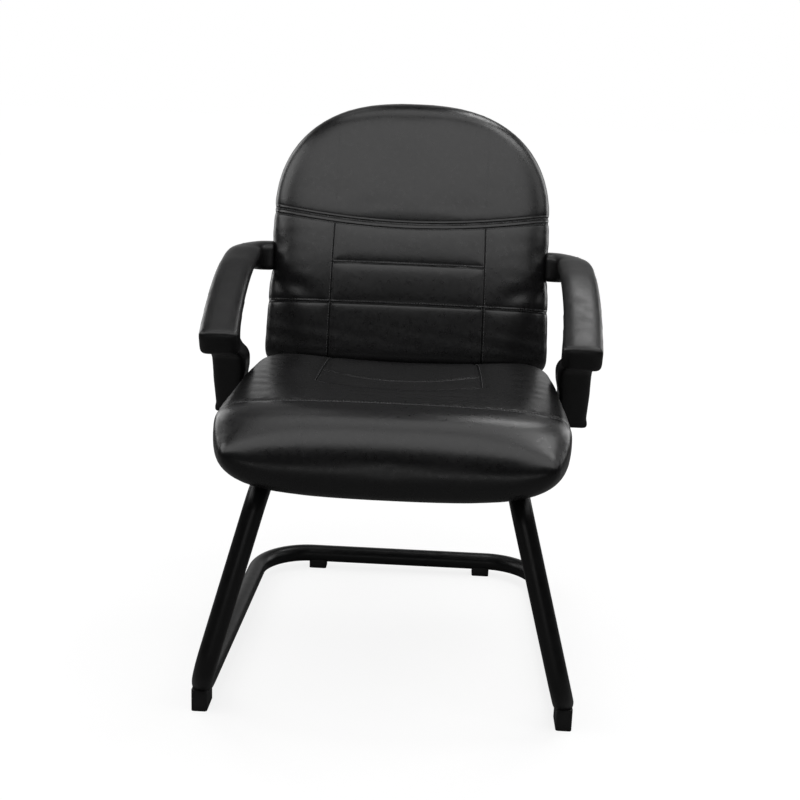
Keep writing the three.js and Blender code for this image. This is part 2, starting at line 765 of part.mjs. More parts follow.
// The back cushion's skin, drawn in by an inset, with its rear face at a given depth.
function backForm({ inset, rearDepth, sewn }) {
  const lines = sewn
    ? [...backSewnHeights, ...backBandHeights]
    : [backLowerLineHeight, backMiddleLineHeight, backShoulderHeight];
  const shares = acrossShares(backPanelHalfWidth, backUpperHalfWidth, sewn);
  const middle = backThickness * backEdgeMiddleShare;
  const seamMiddle = backSeamHeight - backSeamSag;
  const rings = backHeights(inset, lines).map((z) => {
    const sag = backSeamSag * smooth(backMiddleLineHeight + seamWidth, seamMiddle, z)
      * (1 - smooth(seamMiddle, backHeight - backTopRound, z));
    const half = backHalfAt(z + sag, inset);
    const lineHalf = half * backPanelHalfWidth / backUpperHalfWidth;
    const end = fullness(backBottomRound - (z - inset), backBottomRound, softPower)
      * fullness(z - (backHeight - inset - backTopRound), backTopRound, softPower);
    const rim = fullness(backRearRound - (z - inset), backRearRound, roundPower)
      * fullness(z - (backHeight - inset - backRearRound), backRearRound, roundPower);
    const puff = THREE.MathUtils.lerp(backCrown, backTopCrown, smooth(backShoulderHeight, backHeight, z));
    const front = shares.map((share) => {
      const reach = Math.abs(share);
      let pull = 0;
      if (sewn) {
        pull = Math.max(
          groove(z - backLowerLineHeight),
          groove(z - seamMiddle),
          groove(z - seamMiddle + backBandHeight),
        );
        if (reach * half < lineHalf) pull = Math.max(pull, groove(z - backMiddleLineHeight));
        if (z < seamMiddle) pull = Math.max(pull, groove(reach * half - lineHalf));
      }
      const full = (middle + puff * (1 - reach * reach) - inset) * fullness(reach, 1, tightPower);
      const depth = Math.max(0, full - pull) * end;
      return new THREE.Vector3(share * half, middle - depth, z + sag * share * share);
    });
    const behind = shares.slice(1, -1).reverse().map((share) => new THREE.Vector3(
      share * half,
      middle + (rearDepth - middle) * boardedFullness(share, 1 - backBoardInset / backLowerHalfWidth) * rim,
      z + sag * share * share,
    ));
    return [...front, ...behind];
  });
  return solid(loft(rings));
}

// The outline as a ring of points at a depth, drawn in by an inset.
function backOutline(inset) {
  const heights = [...backHeights(inset, [backLowerLineHeight, backShoulderHeight]), backHeight - inset];
  const right = heights.map((z) => [Math.max(0, backHalfAt(z, inset)), z]);
  const left = right.slice(0, -1).reverse().map(([x, z]) => [-x, z]);
  return [...right, ...left];
}

const outlineRing = (inset, depth) =>
  backOutline(inset).map(([x, z]) => new THREE.Vector3(x, depth, z));

const backSlab = (inset, front, rear) =>
  solid(loft([outlineRing(inset, front), outlineRing(inset, rear)]));

// Where the arms meet the back, in the back's frame.
const linkCentre = new THREE.Vector3(0, armLinkCentreDepth, armLinkCentreHeight);
const linkInBack = linkCentre.clone().applyMatrix4(intoBack);
const backSideHalf = backHalfAt(linkInBack.z, 0);
const armLinkEnd = backSideHalf - armLinkEntry;
const armBackHeadHalfSpan = armLinkEnd + armLinkWall;
const bracketInner = backHalfAt(linkInBack.z - bracketLength / 2, backBoardInset) + seatGap;
const bracketOuter = bracketInner + bracketThickness;

const armBackBolts = sides.flatMap(({ name, sign }) =>
  [-1, 1].map((row) => ({
    name: `arm_back_bolt_${row < 0 ? 'lower' : 'upper'}_${name}`,
    sign,
    y: armLinkCentreDepth,
    z: armLinkCentreHeight + row * armBackBoltHalfPitch,
  })));

// A round bar along X on one side of the chair, between two distances from its middle.
function sideBar({ sign, y, z }, radius, inner, outer) {
  const geometry = bar(radius, inner, outer);
  geometry.rotateY(Math.PI / 2);
  if (sign < 0) geometry.rotateY(Math.PI);
  return geometry.translate(0, y, z);
}

const armBoltRoom = () => armBackBolts.map((bolt) => {
  const inner = bracketInner - 2 * cutOverrun;
  const shaft = sideBar(bolt, armBackBoltRadius + boltClearance, inner, armBackHeadHalfSpan);
  return solid(shaft.applyMatrix4(intoBack));
});

function bracketBlocks(gap) {
  const low = linkInBack.z - bracketLength / 2 - gap;
  const high = linkInBack.z + bracketLength / 2 + gap;
  const front = linkInBack.y - bracketEdge - gap;
  const rear = backBoardFront - seatGap;
  const box = (x0, x1, y0, y1) => {
    const block = new THREE.BoxGeometry(x1 - x0, y1 - y0, high - low);
    return block.translate((x0 + x1) / 2, (y0 + y1) / 2, (low + high) / 2);
  };
  return [
    box(bracketInner - gap, bracketOuter + gap, front, rear + gap),
    box(
      bracketInner - bracketFlange - gap,
      bracketOuter + gap,
      rear - bracketThickness - gap,
      rear + gap,
    ),
  ];
}

const bracketScrews = sides.flatMap(({ name, sign }) =>
  [-1, 1].map((row) => ({
    name: `bracket_screw_${row < 0 ? 'lower' : 'upper'}_${name}`,
    x: sign * (bracketInner - bracketFlange / 2),
    z: linkInBack.z + row * bracketScrewHalfPitch,
  })));

// A round bar along the back's depth.
const depthBar = ({ x, z }, radius, front, rear) =>
  bar(radius, front, rear).rotateX(-Math.PI / 2).translate(x, 0, z);

const bracketFace = backBoardFront - seatGap - bracketThickness;

function backBracket({ name, sign }) {
  const [leg, flange] = bracketBlocks(0).map((block) => solid(block.scale(sign, 1, 1)));
  const screwHoles = bracketScrews.map((screw) =>
    solid(depthBar(screw, bracketScrewRadius + boltClearance, bracketFace - cutOverrun, backBoardFront)));
  const bracket = cut(leg.add(flange), [...armBoltRoom(), ...screwHoles]);
  return piece(`back_bracket_${name}`, bracket, materials.zinc);
}

function bracketScrew(screw) {
  const front = bracketFace - seatGap;
  const headFront = front - bracketScrewHeadHeight;
  const head = depthBar(screw, bracketScrewHeadRadius, headFront, front);
  const shank = depthBar(screw, bracketScrewRadius, headFront, front + bracketScrewLength);
  return piece(screw.name, solid(head).add(solid(shank)), materials.zinc);
}

// Shares of the rear panel's edge and crown: how far inward, and how far rearward.
const panelEdgeShares = [[0, 0], [0, 0.55], [0.3, 0.87], [1, 1]];
const panelCrownShares = [[0.45, 0.6], [1, 1]];

function backParts() {
  const behind = backThickness + cutOverrun;
  const screwHoles = bracketScrews.map((screw) =>
    solid(depthBar(screw, bracketScrewRadius + seatGap, backBoardFront - cutOverrun, behind)));
  const board = cut(backSlab(backBoardInset, backBoardFront, backThickness - seatGap), screwHoles);

  const foamRoom = backSlab(backBoardInset - seatGap, backBoardFront - seatGap, behind);
  const roomForBrackets = sides.flatMap(({ sign }) =>
    bracketBlocks(seatGap).map((block) => solid(block.scale(sign, 1, 1))));
  const headRoomFront = bracketFace - 2 * bracketScrewHeadHeight;
  const roomForHeads = bracketScrews.map((screw) =>
    solid(depthBar(screw, bracketScrewHeadRadius + seatGap, headRoomFront, backBoardFront)));
  const foam = cut(
    backForm({ inset: coverThickness + foamGap, rearDepth: backThickness - foamGap, sewn: false }),
    [foamRoom, ...roomForBrackets, ...roomForHeads, ...armBoltRoom()],
  );

  const cavity = backForm({ inset: coverThickness, rearDepth: backThickness, sewn: false });
  const opening = backSlab(backBoardInset + coverWrapMargin, backThickness - cutOverrun, behind);
  const coverRoom = backSlab(backBoardInset - seatGap, backBoardFront, backThickness);
  const links = sides.map(({ sign }) => solid(armPad(sign, seatGap).applyMatrix4(intoBack)));
  const cover = cut(
    backForm({ inset: 0, rearDepth: backThickness + coverWrapThickness, sewn: true }),
    [cavity, opening, coverRoom, ...roomForBrackets, ...links, ...armBoltRoom()],
  );

  const panelFront = backThickness + coverWrapThickness + seatGap;
  const edgeRings = panelEdgeShares.map(([inward, outward]) =>
    [backPanelInset + backPanelEdge * inward, panelFront + backPanelEdge * outward]);
  const crownRings = panelCrownShares.map(([inward, outward]) =>
    [backPanelInset + backPanelCrownReach * inward, panelFront + backPanelEdge + backPanelCrown * outward]);
  const panel = loft([...edgeRings, ...crownRings].map(([inset, depth]) => outlineRing(inset, depth)));

  const back = new THREE.Group();
  back.applyMatrix4(backFrame);
  back.add(
    piece('back_board', board, materials.plywood),
    piece('back_foam', foam, materials.foam),
    piece('back_cover', cover, materials.leather),
    piece('back_panel', solid(panel), materials.leather),
  );
  sides.forEach((side) => back.add(backBracket(side)));
  bracketScrews.forEach((screw) => back.add(bracketScrew(screw)));
  return back;
}

// Arms

// Shares of the pad's run and rise between the nose and the shoulder.
const padCurveShares = [[0.14, 0.15], [0.37, 0.45], [0.6, 0.73], [0.82, 0.92]];

// Shares of a rounded edge: how far along from the end, and how far drawn in there.
const roundedEdgeShares = [[0, 1], [0.13, 0.5], [0.5, 0.13], [1, 0]];

// Shares of the pad's length: its rings, and where it thins, thickens and narrows into the link.
const padRingShares = [0.12, 0.2, 0.28, 0.37, 0.46, 0.55, 0.62, 0.69, 0.74, 0.79, 0.84, 0.89, 0.94, 1];
const padThinShares = [0, 0.42];
const linkThickShares = [0.66, 0.96];
const linkNarrowShares = [0.72, 0.98];
const armCornerSteps = 3;
const armTurnSteps = 5;

// A rounded rectangle across a path, with a slight crown on its upper side.
function armRing(centre, wide, up, halfWidth, halfThickness, corner) {
  const radius = Math.min(corner, halfWidth, halfThickness);
  const corners = [[1, 1, 0], [-1, 1, 1], [-1, -1, 2], [1, -1, 3]];
  const points = [];
  const add = (a, b) => points.push(centre.clone().addScaledVector(wide, a).addScaledVector(up, b));
  corners.forEach(([signA, signB, quarter]) => {
    for (let step = 0; step <= armCornerSteps; step++) {
      const angle = (quarter + step / armCornerSteps) * Math.PI / 2;
      add(signA * (halfWidth - radius) + radius * Math.cos(angle),
        signB * (halfThickness - radius) + radius * Math.sin(angle));
    }
    if (quarter === 0) add(0, halfThickness + armCrown);
    if (quarter === 2) add(0, -halfThickness);
  });
  return points;
}

// The pad from its nose, up over the shoulder and inward to the back's side.
function armPad(sign, extra) {
  const shoulderDepth = armLinkCentreDepth - armTurnRadius;
  const run = shoulderDepth - armNoseDepth;
  const rise = armShoulderHeight - armNoseHeight;
  const line = [[0, 0], ...padCurveShares, [1, 1]].map(([along, up]) => new THREE.Vector3(
    THREE.MathUtils.lerp(armHalfSpan, armRearHalfSpan, along),
    armNoseDepth + run * along,
    armNoseHeight + rise * up,
  ));
  for (let step = 1; step <= armTurnSteps; step++) {
    const angle = Math.PI / 2 * step / armTurnSteps;
    line.push(new THREE.Vector3(
      armRearHalfSpan - armTurnRadius * (1 - Math.cos(angle)),
      shoulderDepth + armTurnRadius * Math.sin(angle),
      THREE.MathUtils.lerp(armShoulderHeight, armLinkCentreHeight, step / armTurnSteps),
    ));
  }
  line.push(new THREE.Vector3(armLinkEnd - extra, armLinkCentreDepth, armLinkCentreHeight));
  const curve = new THREE.CatmullRomCurve3(line, false, 'centripetal');
  const length = curve.getLength();
  const stations = [
    ...roundedEdgeShares.map(([reach, drawn]) => [reach * armCorner / length, drawn * armCorner]),
    ...padRingShares.map((share) => [share, 0]),
  ];
  const rings = stations.map(([share, drawn]) => {
    const centre = curve.getPointAt(share);
    const along = curve.getTangentAt(share);
    const wide = new THREE.Vector3(along.y, -along.x, 0).normalize();
    const up = wide.clone().cross(along).normalize();
    const padThickness = THREE.MathUtils.lerp(
      armNoseThickness,
      armPadThickness,
      smooth(...padThinShares, share),
    );
    const thickness = THREE.MathUtils.lerp(
      padThickness,
      armLinkHeight,
      smooth(...linkThickShares, share),
    );
    const width = THREE.MathUtils.lerp(armPadWidth, armLinkDepth, smooth(...linkNarrowShares, share));
    return armRing(centre, wide, up, width / 2 - drawn + extra, thickness / 2 - drawn + extra, armCorner);
  });
  return loft(rings).scale(sign, 1, 1);
}

// The post in side view: it leans rearward to the foot and flares into the pad behind.
function postOutline() {
  const rearTop = postFrontTopDepth + postTopDepth;
  const rearFoot = postFrontFootDepth + postFootDepth;
  const shape = new THREE.Shape();
  shape.moveTo(postFrontFootDepth, footBottom);
  shape.lineTo(rearFoot, footBottom);
  shape.lineTo(rearFoot, footTop + footThickness);
  shape.lineTo(rearTop + postFilletLean, postRearTopHeight - postFilletHeight);
  shape.quadraticCurveTo(
    rearTop + postFilletLean,
    postRearTopHeight - postFilletTurn,
    rearTop + postFilletReach,
    postRearTopHeight,
  );
  shape.lineTo(postFrontTopDepth, postFrontTopHeight);
  return shape.getPoints(postCurveSteps).filter((point, i, all) => point.distanceTo(all.at(i - 1)) > seatGap);
}

// The post with its long edges rounded, from its inner to its outer side.
function armPost(sign) {
  const outline = postOutline();
  const inner = postHalfSpan - postWidth / 2;
  const edge = roundedEdgeShares.map(([reach, drawn]) => [reach * armCorner, drawn * armCorner]);
  const stations = [
    ...edge.map(([reach, drawn]) => [inner + reach, drawn]),
    ...edge.map(([reach, drawn]) => [inner + postWidth - reach, drawn]).reverse(),
  ];
  const rings = stations.map(([x, drawn]) =>
    drawnIn(outline, drawn).map((point) => new THREE.Vector3(x, point.x, point.y)));
  const ends = THREE.ShapeUtils.triangulateShape(drawnIn(outline, armCorner), []);
  return loft(rings, ends).scale(sign, 1, 1);
}

function armFoot(sign) {
  const halfLength = (armHalfSpan - footInnerHalfSpan) / 2;
  const plate = slab(roundedRectangle(halfLength, postFootDepth / 2, armCorner), footBottom, footTop);
  return plate.translate(sign * (footInnerHalfSpan + halfLength), postFootMiddle, 0);
}

function armParts({ name, sign }) {
  const moulding = solid(armPad(sign, 0)).add(solid(armPost(sign))).add(solid(armFoot(sign)));
  const own = armBackBolts.filter((bolt) => bolt.sign === sign);
  const outside = armRearHalfSpan + armPadWidth;
  const shafts = own.map((bolt) =>
    solid(sideBar(bolt, armBackBoltRadius + boltClearance, armLinkEnd - cutOverrun, outside)));
  const sinks = own.map((bolt) =>
    solid(sideBar(bolt, armBackHeadRadius + boltClearance, armBackHeadHalfSpan, outside)));
  const footHoles = boltHoles(boltShankRadius + boltClearance, footBottom, footTop);
  const arm = cut(moulding, [...shafts, ...sinks, ...footHoles]);
  const plugs = own.map((bolt) => {
    const start = armBackHeadHalfSpan + armBackHeadHeight + seatGap;
    const core = solid(sideBar(bolt, armBackHeadRadius, start, outside));
    return piece(bolt.name.replace('bolt', 'plug'), moulding.intersect(core), materials.armPlastic);
  });
  return [piece(`arm_${name}`, arm, materials.armPlastic), ...plugs];
}

function armBackBolt(bolt) {
  const headInner = armBackHeadHalfSpan + seatGap;
  const headOuter = armBackHeadHalfSpan + armBackHeadHeight;
  const head = sideBar(bolt, armBackHeadRadius - seatGap, headInner, headOuter);
  const shank = sideBar(bolt, armBackBoltRadius, bracketInner - cutOverrun, headOuter - seatGap);
  return piece(bolt.name, solid(head).add(solid(shank)), materials.zinc);
}

// The whole chair, centred on the floor under its overall box.
const chair = new THREE.Group();
chair.add(sledTube());
glides.forEach((glide) => chair.add(...glideParts(glide)));
sides.forEach((side) => chair.add(railPlug(side)));
chair.add(crossPlate('front_cross_plate', frontPlateDepth));
chair.add(crossPlate('rear_cross_plate', rearPlateDepth));
chair.add(dustCloth(), seatBoard(), seatFoam(), seatCover());
seatBolts.forEach((bolt) => chair.add(seatBolt(bolt), boardNut(bolt)));
chair.add(backParts());
sides.forEach((side) => chair.add(...armParts(side)));
armBackBolts.forEach((bolt) => chair.add(armBackBolt(bolt)));

chair.updateMatrixWorld(true);
const overall = new THREE.Box3().setFromObject(chair, true);
const middle = overall.getCenter(new THREE.Vector3());
chair.position.set(-middle.x, -middle.y, -overall.min.z);

export default chair;
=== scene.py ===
# %% [markdown]
# A visitor chair on a sled base, dressed in Blender.
# One bent steel tube carries a padded seat and a leaned back in black leather.
# Two moulded arms join the seat board to the sides of the back.
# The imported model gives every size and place. This script adds the looks: stuffed leather,
# sewn lines with real stitches, smooth bent tube, moulded arms, fittings and finishes.

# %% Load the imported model
import math

import bmesh
import bpy
import numpy as np
from mathutils import Matrix, Vector
from mathutils.bvhtree import BVHTree


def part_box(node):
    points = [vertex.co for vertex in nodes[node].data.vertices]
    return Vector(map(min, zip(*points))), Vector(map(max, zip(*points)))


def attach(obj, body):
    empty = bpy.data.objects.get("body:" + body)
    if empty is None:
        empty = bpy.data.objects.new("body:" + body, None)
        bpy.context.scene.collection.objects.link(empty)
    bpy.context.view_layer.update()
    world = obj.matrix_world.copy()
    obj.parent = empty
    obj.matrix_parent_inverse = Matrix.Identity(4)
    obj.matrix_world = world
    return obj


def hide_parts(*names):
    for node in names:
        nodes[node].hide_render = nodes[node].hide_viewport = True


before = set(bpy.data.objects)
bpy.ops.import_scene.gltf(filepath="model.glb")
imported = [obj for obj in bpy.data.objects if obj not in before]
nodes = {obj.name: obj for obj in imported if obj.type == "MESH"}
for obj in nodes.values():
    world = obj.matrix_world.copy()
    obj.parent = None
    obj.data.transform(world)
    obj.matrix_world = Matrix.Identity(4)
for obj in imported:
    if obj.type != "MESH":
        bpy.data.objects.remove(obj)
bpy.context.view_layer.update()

print("pieces in the packed model:", len(nodes))

# %% [markdown]
# Sizes are written in millimetres, as a maker would write them. Depths run rearward from the
# front edge of the front feet, heights from the floor. One helper turns such numbers into
# metres in the shared frame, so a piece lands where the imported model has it.

# %% Places and numbers
MM = 0.001
front_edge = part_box("front_glide_left")[0].y
SIDES = (("left", -1), ("right", 1))


def placed(points):
    """Chair millimetres to metres in the shared frame."""
    moved = np.asarray(points, float).reshape(-1, 3) * MM
    moved[:, 1] += front_edge
    return moved


def depth_of(points):
    """How far back points in the shared frame lie, in chair millimetres."""
    return (points[:, 1] - front_edge) / MM


def columns(*parts):
    """A table of points from its columns. A single number fills its whole column."""
    return np.stack(np.broadcast_arrays(*parts), 1)


def smooth(low, high, value):
    share = np.clip((value - low) / (high - low), 0, 1)
    return share * share * (3 - 2 * share)


def blend(a, b, share):
    return a + (b - a) * share


def fullness(distance, reach, power):
    """1 before a rounded end starts, then falling to 0 at its reach."""
    share = np.clip(np.asarray(distance, float) / reach, 0, 1)
    return (1 - share ** power) ** (1 / power)


def bump_of(distance, width):
    return np.exp(-(distance / width) ** 2)


def set_all(target, **values):
    for key, value in values.items():
        setattr(target, key, value)


def shown(name, data):
    """A new object in the scene that shows the given data."""
    made = bpy.data.objects.new(name, data)
    bpy.context.scene.collection.objects.link(made)
    return made


print("front edge of the feet in the frame:", round(front_edge, 5))

# %% [markdown]
# ## Camera
# The photograph was taken from about 1.6 metres in front of the feet, at the height of a
# seated person's eyes, looking down by fourteen degrees and with a slight roll. The camera
# comes first.

# %% Camera
VIEW_PITCH, VIEW_ROLL, VIEW_YAW = (math.radians(v) for v in (13.9706, 2.1914, 1.8583))
VIEW_HEIGHT, VIEW_DISTANCE, VIEW_ASIDE = 0.9145, 1.6269, -0.0192
CENTRE_X, CENTRE_Y = 405.6369, 392.1448
PHOTO_SIDE = 800


def photo_camera():
    sin_yaw, cos_yaw = math.sin(VIEW_YAW), math.cos(VIEW_YAW)
    sin_pitch, cos_pitch = math.sin(VIEW_PITCH), math.cos(VIEW_PITCH)
    forward = Vector((-sin_yaw * cos_pitch, cos_yaw * cos_pitch, -sin_pitch))
    level = Vector((cos_yaw, sin_yaw, 0))
    down = Vector((0, 0, -cos_pitch)) - Vector((-sin_yaw, cos_yaw, 0)) * sin_pitch
    right = level * math.cos(VIEW_ROLL) - down * math.sin(VIEW_ROLL)
    below = level * math.sin(VIEW_ROLL) + down * math.cos(VIEW_ROLL)
    turn = Matrix((right, -below, -forward)).transposed().to_4x4()
    place = Vector((
        -VIEW_ASIDE * cos_yaw + VIEW_DISTANCE * sin_yaw,
        -VIEW_ASIDE * sin_yaw - VIEW_DISTANCE * cos_yaw + front_edge,
        VIEW_HEIGHT,
    ))
    camera = shown("photo_camera", bpy.data.cameras.new("photo_camera"))
    set_all(camera.data, sensor_width=36, lens=54, clip_end=50,
            shift_x=(PHOTO_SIDE / 2 - CENTRE_X) / PHOTO_SIDE,
            shift_y=(CENTRE_Y - PHOTO_SIDE / 2) / PHOTO_SIDE)
    camera.matrix_world = Matrix.Translation(place) @ turn
    bpy.context.scene.camera = camera
    return camera


camera = photo_camera()
print("camera at", [round(v, 3) for v in camera.location])

# %% [markdown]
# ## Finishes
# Each finish is a small node tree on object coordinates, so its grain has a real size in
# metres. A shared helper lays down the part that all of them need: a colour that wanders
# between two tones, a roughness that wanders too, and one or two layers of relief. Larger
# trees are wired by lines of text, which read like the links that one would draw by hand.


# %% Helpers for node trees
def new_node(tree, kind, **values):
    """A node with its settings and input values. A key such as _1 means the input in that place."""
    made = tree.nodes.new(kind)
    for key, value in values.items():
        if hasattr(made, key):
            setattr(made, key, value)
        else:
            made.inputs[int(key[1:]) if key[1:].isdigit() else key.replace("_", " ")].default_value = value
    return made


class Wiring:
    """Named nodes in a tree. A part is a node, a kind of node, or a kind with its values."""

    def __init__(self, tree, **parts):
        self.tree, self.parts = tree, {}
        for name, part in parts.items():
            if isinstance(part, str):
                part = new_node(tree, part)
            elif isinstance(part, tuple):
                part = new_node(tree, part[0], **part[1])
            self.parts[name] = part

    def link(self, wires):
        """Links written as "part.socket > part.socket", with commas between them."""
        for wire in wires.split(","):
            ends = []
            for end, side in zip(wire.split(">"), ("outputs", "inputs")):
                name, socket = end.strip().split(".")
                sockets = getattr(self.parts[name], side)
                ends.append(sockets[int(socket) if socket.isdigit() else socket])
            self.tree.links.new(*ends)


# %% A helper for finishes
class Finish:
    def __init__(self, name):
        self.material = bpy.data.materials.new(name)
        self.material.use_nodes = True
        self.tree = self.material.node_tree
        self.shader = self.tree.nodes["Principled BSDF"]
        self.place = self.node("ShaderNodeTexCoord").outputs["Object"]
        self.relief = None

    def node(self, kind, **values):
        return new_node(self.tree, kind, **values)

    def join(self, source, target):
        self.tree.links.new(source, target)

    def stretched(self, scale):
        mapping = self.node("ShaderNodeMapping", Scale=scale)
        self.join(self.place, mapping.inputs["Vector"])
        return mapping.outputs["Vector"]

    def noise(self, scale, detail=3.0, vector=None, distortion=0.0):
        made = self.node("ShaderNodeTexNoise", Scale=scale, Detail=detail, Distortion=distortion)
        self.join(vector or self.place, made.inputs["Vector"])
        return made.outputs["Fac"]

    def cells(self, scale, feature="DISTANCE_TO_EDGE"):
        made = self.node("ShaderNodeTexVoronoi", feature=feature, Scale=scale)
        self.join(self.place, made.inputs["Vector"])
        return made.outputs["Distance"]

    def waves(self, direction, scale, distortion):
        made = self.node("ShaderNodeTexWave", bands_direction=direction, Scale=scale, Distortion=distortion)
        self.join(self.place, made.inputs["Vector"])
        return made.outputs["Fac"]

    def ranged(self, value, low, high, start=0.3, end=0.7):
        made = self.node("ShaderNodeMapRange", From_Min=start, From_Max=end, To_Min=low, To_Max=high)
        self.join(value, made.inputs["Value"])
        return made.outputs["Result"]

    def nearest_line(self, *attributes):
        """The smallest distance kept in vector attributes of three signed distances each."""
        vectors = []
        for name in attributes:
            kept = self.node("ShaderNodeAttribute", attribute_name=name)
            size = self.node("ShaderNodeVectorMath", operation="ABSOLUTE")
            self.join(kept.outputs["Vector"], size.inputs[0])
            vectors.append(size.outputs["Vector"])
        least = self.node("ShaderNodeVectorMath", operation="MINIMUM")
        parts = self.node("ShaderNodeSeparateXYZ")
        self.join(vectors[0], least.inputs[0])
        self.join(vectors[1], least.inputs[1])
        self.join(least.outputs["Vector"], parts.inputs["Vector"])
        nearest = parts.outputs["X"]
        for axis in ("Y", "Z"):
            smaller = self.node("ShaderNodeMath", operation="MINIMUM")
            self.join(nearest, smaller.inputs[0])
            self.join(parts.outputs[axis], smaller.inputs[1])
            nearest = smaller.outputs["Value"]
        return nearest

    def tones(self, value, *stops):
        ramp = self.node("ShaderNodeValToRGB")
        ramp.color_ramp.elements[0].position = stops[0][0]
        ramp.color_ramp.elements[1].position = stops[-1][0]
        for place, colour in stops[1:-1]:
            ramp.color_ramp.elements.new(place)
        for element, (place, colour) in zip(ramp.color_ramp.elements, stops):
            element.color = (*colour, 1)
        self.join(value, ramp.inputs["Fac"])
        return ramp.outputs["Color"]

    def raised(self, height, distance, strength=1.0):
        made = self.node("ShaderNodeBump", Distance=distance, Strength=strength)
        self.join(height, made.inputs["Height"])
        if self.relief:
            self.join(self.relief, made.inputs["Normal"])
        self.relief = made.outputs["Normal"]

    def done(self, colour, roughness, **numbers):
        self.join(colour, self.shader.inputs["Base Color"])
        self.join(roughness, self.shader.inputs["Roughness"])
        if self.relief:
            self.join(self.relief, self.shader.inputs["Normal"])
        for key, value in numbers.items():
            self.shader.inputs[key.replace("_", " ")].default_value = value
        print("finish:", self.material.name)
        return self.material


def plain_finish(name, relief, tone_noise, tones, rough_noise, rough, **numbers):
    """A finish from noise alone. Each relief is a pattern, its values, a distance and a strength."""
    made = Finish(name)
    for pattern, values, distance, strength in relief:
        made.raised(getattr(made, pattern)(*values), distance, strength)
    colour = made.tones(made.noise(*tone_noise), *zip((0.3, 0.7), tones))
    return made.done(colour, made.ranged(made.noise(*rough_noise), *rough), **numbers)


# %% [markdown]
# The leather is a smooth finished hide: flat cells about two millimetres across with faint
# creases between them, a few longer soft wrinkles, and a low even sheen. Its black is close to
# the photograph's darkest tones; the grey on the top of the back is the lamp in its sheen.
# The sewn leather also has its seam lines: a groove between two ridges, its colour darkened by painted shade.

# %% Leather and thread
LINE_WIDTH, RIDGE_WIDTH = 1.7, 4.4
# The colour of the painted shade in the seam grooves.
SEAM_PAINTED_SHADE = (0.0008, 0.0008, 0.0008, 1)


def hide(name, sewn):
    """Leather. With sewn lines it reads the distance to them, in millimetres, from the mesh."""
    made = Finish(name)
    colour = made.tones(
        made.noise(11, 4.0),
        (0.30, (0.0030, 0.0030, 0.0032)),
        (0.55, (0.0044, 0.0043, 0.0046)),
        (0.75, (0.0066, 0.0064, 0.0068)),
    )
    made.raised(made.noise(28, 3.0, distortion=0.6), 0.0016, 0.20)
    if sewn:
        nearest = made.nearest_line("lines_a", "lines_b")
        made.raised(made.ranged(nearest, 0.0, 1.0, 0.1, LINE_WIDTH), 0.0013, 1.0)
        made.raised(made.ranged(nearest, 1.0, 0.0, LINE_WIDTH, RIDGE_WIDTH), 0.0010, 0.8)
        # Painted shade: the seam groove's colour is darkened to near black where shade falls in it.
        dark = made.node("ShaderNodeMix", data_type="RGBA", _6=SEAM_PAINTED_SHADE)
        made.join(made.ranged(nearest, 0.0, 1.0, 0.3, LINE_WIDTH), dark.inputs[0])
        made.join(colour, dark.inputs[7])
        colour = dark.outputs[2]
    made.raised(made.ranged(made.cells(520), 0.0, 1.0, 0.0, 0.35), 0.00004, 0.4)
    return made.done(colour, made.ranged(made.noise(140, 2.0), 0.27, 0.34), Specular_IOR_Level=0.50)


black_leather = hide("black_leather", False)
sewn_leather = hide("black_leather_sewn", True)
# The thread is really black. Its colour is painted lighter, a painted sheen for the light along the stitches.
thread_painted_sheen = plain_finish(
    "thread_painted_sheen", [("noise", (2600, 1.0), 0.0001, 0.8)],
    (300,), ((0.050, 0.050, 0.051), (0.080, 0.080, 0.082)),
    (500,), (0.4, 0.6), Specular_IOR_Level=0.5)

# %% [markdown]
# The arms are moulded in a satin plastic with a faint pebble from the mould. Hands polish
# them, so their roughness wanders more than the leather's. The tube is powder-coated: almost
# black, semi-gloss, with the slight orange peel that this coating has.

# %% Arm plastic and tube paint
arm_plastic = plain_finish(
    "arm_plastic_satin",
    [("noise", (60, 2.0), 0.0008, 0.12), ("cells", (1500, "F1"), 0.00007, 0.6)],
    (16, 3.0), ((0.0032, 0.0032, 0.0034), (0.0058, 0.0056, 0.0058)),
    (45, 4.0), (0.30, 0.42), Specular_IOR_Level=0.42)
frame_paint = plain_finish(
    "black_powder_coat", [("noise", (520, 2.0), 0.00010, 0.45)],
    (22, 3.0), ((0.0030, 0.0030, 0.0032), (0.0052, 0.0052, 0.0055)),
    (70, 3.0), (0.28, 0.38), Specular_IOR_Level=0.36)

# %% [markdown]
# The rest is seen from below or behind: matt plastic glides, zinc-plated fasteners, plywood
# boards with their plies, and the black dust cloth.

# %% Glides, zinc, plywood and dust cloth
glide_plastic = plain_finish(
    "glide_plastic_matt", [("noise", (900, 3.0), 0.00012, 0.6)],
    (40,), ((0.007, 0.007, 0.007), (0.014, 0.014, 0.014)),
    (90,), (0.52, 0.68), Specular_IOR_Level=0.35)
zinc_steel = plain_finish(
    "zinc_plate", [("noise", (1400, 2.0), 0.00003, 0.5)],
    (120,), ((0.42, 0.42, 0.40), (0.60, 0.60, 0.58)),
    (260,), (0.28, 0.42), Metallic=1.0)

wood = Finish("birch_plywood")
fibres = wood.stretched((3.0, 60.0, 60.0))
wood.raised(wood.noise(30, 4.0, fibres), 0.0002, 0.5)
ply_tones = (0.2, (0.30, 0.19, 0.10)), (0.6, (0.48, 0.34, 0.19)), (0.9, (0.55, 0.40, 0.24))
plywood = wood.done(
    wood.tones(wood.waves("Z", 105.0, 0.4), *ply_tones),
    wood.ranged(wood.noise(50, 3.0, fibres), 0.62, 0.82))

lining = Finish("black_dust_cloth")
for direction in ("X", "Y"):
    lining.raised(lining.waves(direction, 260.0, 0.6), 0.00015, 0.6)
dust_black = lining.done(
    lining.tones(lining.noise(90), (0.3, (0.008, 0.008, 0.008)), (0.7, (0.019, 0.019, 0.019))),
    lining.ranged(lining.noise(400), 0.82, 0.95), Specular_IOR_Level=0.2)

